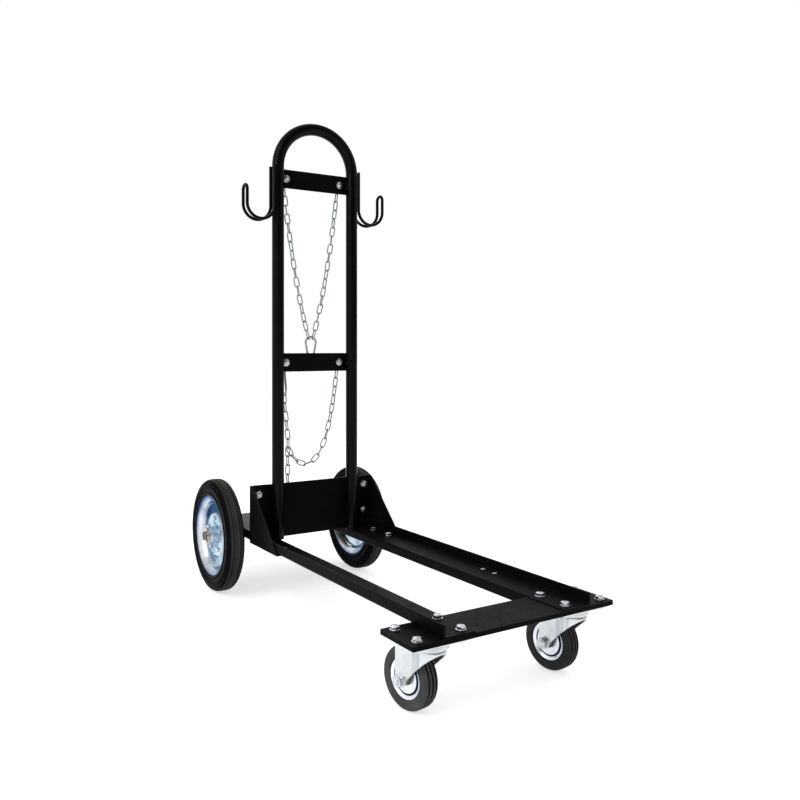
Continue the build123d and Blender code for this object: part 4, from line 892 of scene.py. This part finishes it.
def rear_wheel(side):
    """One rear wheel: tyre, two rim halves and hub tube."""
    place = axle_place(f"{side}_wheel_spin")
    tyre = rounded_profile(both_sides(rear_tyre_profile()), TYRE_EASE)
    ring = turned_ring(f"{side}_tyre", [tyre], place, WHEEL_STEPS, TYRE_RUBBER_WITH_PAINTED_HIGHLIGHTS)
    refinish(ring, place, RIB_RUBBER, RIB_STRIP, RIB_RADIUS)
    stands_for(ring, f"{side}_wheel_tyre")
    half = rounded_profile(rear_rim_profile(), RIM_EASE)
    outward = -1 if side == "left" else 1
    for face, way in (("outer", outward), ("inner", -outward)):
        profile = [(way * x, r) for x, r in half]
        rim = turned_ring(f"{side}_rim_{face}", [profile], place, WHEEL_STEPS, RIM_ZINC_WITH_PAINTED_REFLECTIONS)
        stands_for(rim, f"{side}_wheel_rim_{face}")
    wall = [(-HUB_HALF, HUB_BORE), (HUB_HALF, HUB_BORE), (HUB_HALF, HUB_RADIUS), (-HUB_HALF, HUB_RADIUS)]
    hub = turned_ring(f"{side}_hub_tube", [rounded_profile(wall, HUB_EASE)], place, HUB_STEPS, HUB_ZINC)
    stands_for(hub, f"{side}_wheel_hub")


def stub_axle(side):
    """A stub axle with a black end, bright where it stands out of its washer."""
    axle = softened(f"{side}_stub_axle", AXLE_CHAMFER, AXLE_BLACK, WASHER_ZINC)
    low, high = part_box("axle_washers")
    end_low, end_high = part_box(f"{side}_stub_axle")
    washer, end = (low[0], end_low[0]) if side == "left" else (high[0], end_high[0])
    shape = bmesh.new()
    shape.from_mesh(axle.data)
    half_way = (washer + end) / 2
    for cut in (washer, half_way):
        parts = shape.verts[:] + shape.edges[:] + shape.faces[:]
        bmesh.ops.bisect_plane(shape, geom=parts, plane_co=(cut, 0, 0), plane_no=(1, 0, 0))
    for face in shape.faces:
        if abs(washer) < abs(face.calc_center_median().x) < abs(half_way):
            face.material_index = SECOND_FINISH
    shape.to_mesh(axle.data)
    shape.free()
    shade(axle.data)


for side in SIDES:
    rear_wheel(side)
    stub_axle(side)


# Casters

def caster_tyre_profile():
    """Side wall and grooved tread of a caster tyre, outer half."""
    return [
        (7.6, 27.7), (10.5, 32.4), (12.4, 32.8), (13.9, 34.0), (14.4, 36.0), (14.3, 38.0),
        (13.9, 38.6), (13.9, 39.4), (14.4, 40.0), (14.3, 43.6), (13.2, 46.6), (11.4, 48.6),
        (9.4, 49.6), (9.1, 49.7), (8.6, 47.6), (6.6, 47.6), (6.1, 49.9), (1.6, 50.0), (1.1, 47.7),
    ]


def caster_rim_profile():
    """Pressed sheet of one caster rim half: hub, raised ring, bowl wall and lip."""
    return [
        (0.3, 9.2), (8.8, 9.2), (9.8, 10.6), (10.8, 13.0), (11.2, 17.0), (11.0, 22.0), (10.2, 23.8),
        (6.0, 24.8), (5.6, 25.3), (8.9, 25.8), (11.2, 29.6), (12.2, 31.0), (12.0, 32.3), (10.6, 32.2),
        (9.6, 30.2), (7.7, 27.4), (0.3, 27.4),
    ]


CASTER_TYRE_EASE, DISH_EASE = 0.5, 0.8
GROOVE_STRIP, GROOVE_DEPTH = (0.0, 9.2 * MM), (47.0 * MM, 49.2 * MM)
LEG_FACE = 22.8 * MM  # the ribs stand out past it
FORK_CHAMFER, PLATE_CHAMFER = 0.5 * MM, 0.4 * MM


def caster_wheel(side):
    """One caster wheel: tyre and two rim halves."""
    place = axle_place(f"{side}_caster_spin")
    tyre = rounded_profile(both_sides(caster_tyre_profile()), CASTER_TYRE_EASE)
    tread = turned_ring(f"{side}_caster_tread", [tyre], place, CASTER_STEPS, CASTER_RUBBER_PAINTED_LIGHT_BY_SIDE[side])
    # The tread grooves are painted near black as shade.
    refinish(tread, place, GROOVE_PAINTED_SHADE_RUBBER, GROOVE_STRIP, GROOVE_DEPTH)
    stands_for(tread, f"{side}_caster_tyre")
    half = rounded_profile(caster_rim_profile(), DISH_EASE)
    halves = [[(way * x, r) for x, r in half] for way in (-1, 1)]
    dish = turned_ring(f"{side}_caster_dish", halves, place, CASTER_STEPS, DISH_ZINC_WITH_PAINTED_SHADE[side])
    stands_for(dish, f"{side}_caster_rim")


def caster_fork(side):
    """A swivel fork whose pressed ribs are painted a darker grey as shade."""
    fork = softened(f"{side}_caster_fork", FORK_CHAMFER, CASTER_ZINC, RIB_PAINTED_SHADE_ZINC)
    to_wheel = axle_place(f"{side}_caster_spin").inverted()
    # Faces on the ribs take the darker zinc, a painted shade.
    for face in fork.data.polygons:
        if abs((to_wheel @ face.center).x) > LEG_FACE:
            face.material_index = SECOND_FINISH


for side in SIDES:
    caster_wheel(side)
    caster_fork(side)
    softened(f"{side}_caster_plate", PLATE_CHAMFER, CASTER_ZINC, CASTER_ZINC)
    softened(f"{side}_caster_axle", PLATE_CHAMFER, BOLT_ZINC, BOLT_ZINC)


# CAD nodes that stay as they are, with their finishes

KEPT = {
    TUBE_COAT: ["handle_hoop", "left_cable_hook", "right_cable_hook"],
    WASHER_ZINC: ["axle_washers"],
    BOLT_ZINC: ["split_pins", "caster_balls", "left_wheel_bolts", "right_wheel_bolts"],
    CASTER_ZINC: ["left_caster_kingpin", "right_caster_kingpin"],
    CHAIN_ZINC: ["upper_snap_hook", "lower_snap_hook", "upper_snap_gate", "lower_snap_gate"],
    NYLON: ["left_caster_bush", "right_caster_bush", "left_wheel_bearing", "right_wheel_bearing"],
}
for finish, nodes in KEPT.items():
    for node in nodes:
        for holder in NODES[node].material_slots:
            holder.material = finish


# Studio: white surround, soft lamps, pale floor and the photograph's camera

CAMERA_SIDE = (0.5, -0.86, 0.1)
AMBIENT, DIM, BRIGHT = 0.5, 0.08, 1.0
DIM_SPAN = (0.1, 0.75)
LAMP_TARGET = Vector((0, 0, 0.35))
FLOOR_REACH, FLOOR_LEVEL, FLOOR_GLOW = 30.0, -0.0006, 0.62


def studio_world():
    """Soft even light; the white surround also shows in metal, and is dim on the camera's side."""
    world = bpy.data.worlds.new("studio")
    bpy.context.scene.world = world
    world.use_nodes = True
    sky = Tree(world.node_tree)
    direction = sky.add("ShaderNodeTexCoord").outputs["Generated"]
    toward = sky.add("ShaderNodeVectorMath", {0: direction, 1: CAMERA_SIDE}, operation="DOT_PRODUCT")
    span = {"Value": toward.outputs["Value"], "From Min": DIM_SPAN[0], "From Max": DIM_SPAN[1],
            "To Min": BRIGHT, "To Max": DIM}
    mirrored = sky.add("ShaderNodeMapRange", span, interpolation_type="SMOOTHSTEP").outputs["Result"]
    path = sky.add("ShaderNodeLightPath").outputs
    shown = sky.calc("MAXIMUM", path["Is Camera Ray"], path["Is Transmission Ray"])
    light = sky.add("ShaderNodeMix", {"Factor": path["Is Glossy Ray"], "A": AMBIENT, "B": mirrored})
    level = sky.add("ShaderNodeMix", {"Factor": shown, "A": light.outputs["Result"], "B": BRIGHT})
    surround = world.node_tree.nodes["Background"]
    sky.feed(surround.inputs["Color"], WHITE)
    sky.feed(surround.inputs["Strength"], level.outputs["Result"])


def soft_lamp(name, place, watts, size):
    """A square soft lamp that faces the trolley's middle."""
    lamp = bpy.data.lights.new(name, "AREA")
    lamp.energy = watts
    lamp.size = size
    holder = bpy.data.objects.new(name, lamp)
    holder.location = place
    holder.rotation_euler = (Vector(place) - LAMP_TARGET).to_track_quat("Z", "Y").to_euler()
    bpy.context.scene.collection.objects.link(holder)


def pale_floor():
    """A white floor that keeps a faint shadow."""
    mesh = bpy.data.meshes.new("floor")
    ways = ((-1, -1), (1, -1), (1, 1), (-1, 1))
    mesh.from_pydata([(x * FLOOR_REACH, y * FLOOR_REACH, FLOOR_LEVEL) for x, y in ways], [], [(0, 1, 2, 3)])
    paint = Finish("pale_floor")
    cloud = paint.tint(paint.grain(3.0), (0.9, 0.9, 0.9), (0.93, 0.93, 0.93))
    paint.set(Base_Color=cloud, Roughness=0.9, Specular_IOR_Level=0.0)
    path = paint.add("ShaderNodeLightPath").outputs
    shown = paint.calc("MAXIMUM", path["Is Camera Ray"], path["Is Glossy Ray"])
    paint.set(Emission_Color=WHITE, Emission_Strength=paint.calc("MULTIPLY", shown, FLOOR_GLOW))
    as_object("floor", mesh, paint.material)


def photo_camera():
    """The camera that took the picture, level and a little left of the trolley's front."""
    lens = bpy.data.cameras.new("photo_camera")
    lens.lens = 36.79
    lens.sensor_width = 36.0
    lens.shift_x = 0.01005
    lens.shift_y = -0.06509
    holder = bpy.data.objects.new("photo_camera", lens)
    holder.location = (-0.8563, -1.46665, 0.5578)
    holder.rotation_euler = (math.radians(90), 0, math.radians(-32.42))
    bpy.context.scene.collection.objects.link(holder)
    bpy.context.scene.camera = holder


studio_world()
soft_lamp("left_softbox", (-2.2, -0.6, 2.2), watts=26, size=1.8)
soft_lamp("right_softbox", (2.0, -1.4, 1.8), watts=9, size=1.6)
soft_lamp("back_softbox", (0.6, 2.4, 2.4), watts=14, size=1.8)
pale_floor()
photo_camera()
bpy.context.scene.view_settings.view_transform = "Standard"
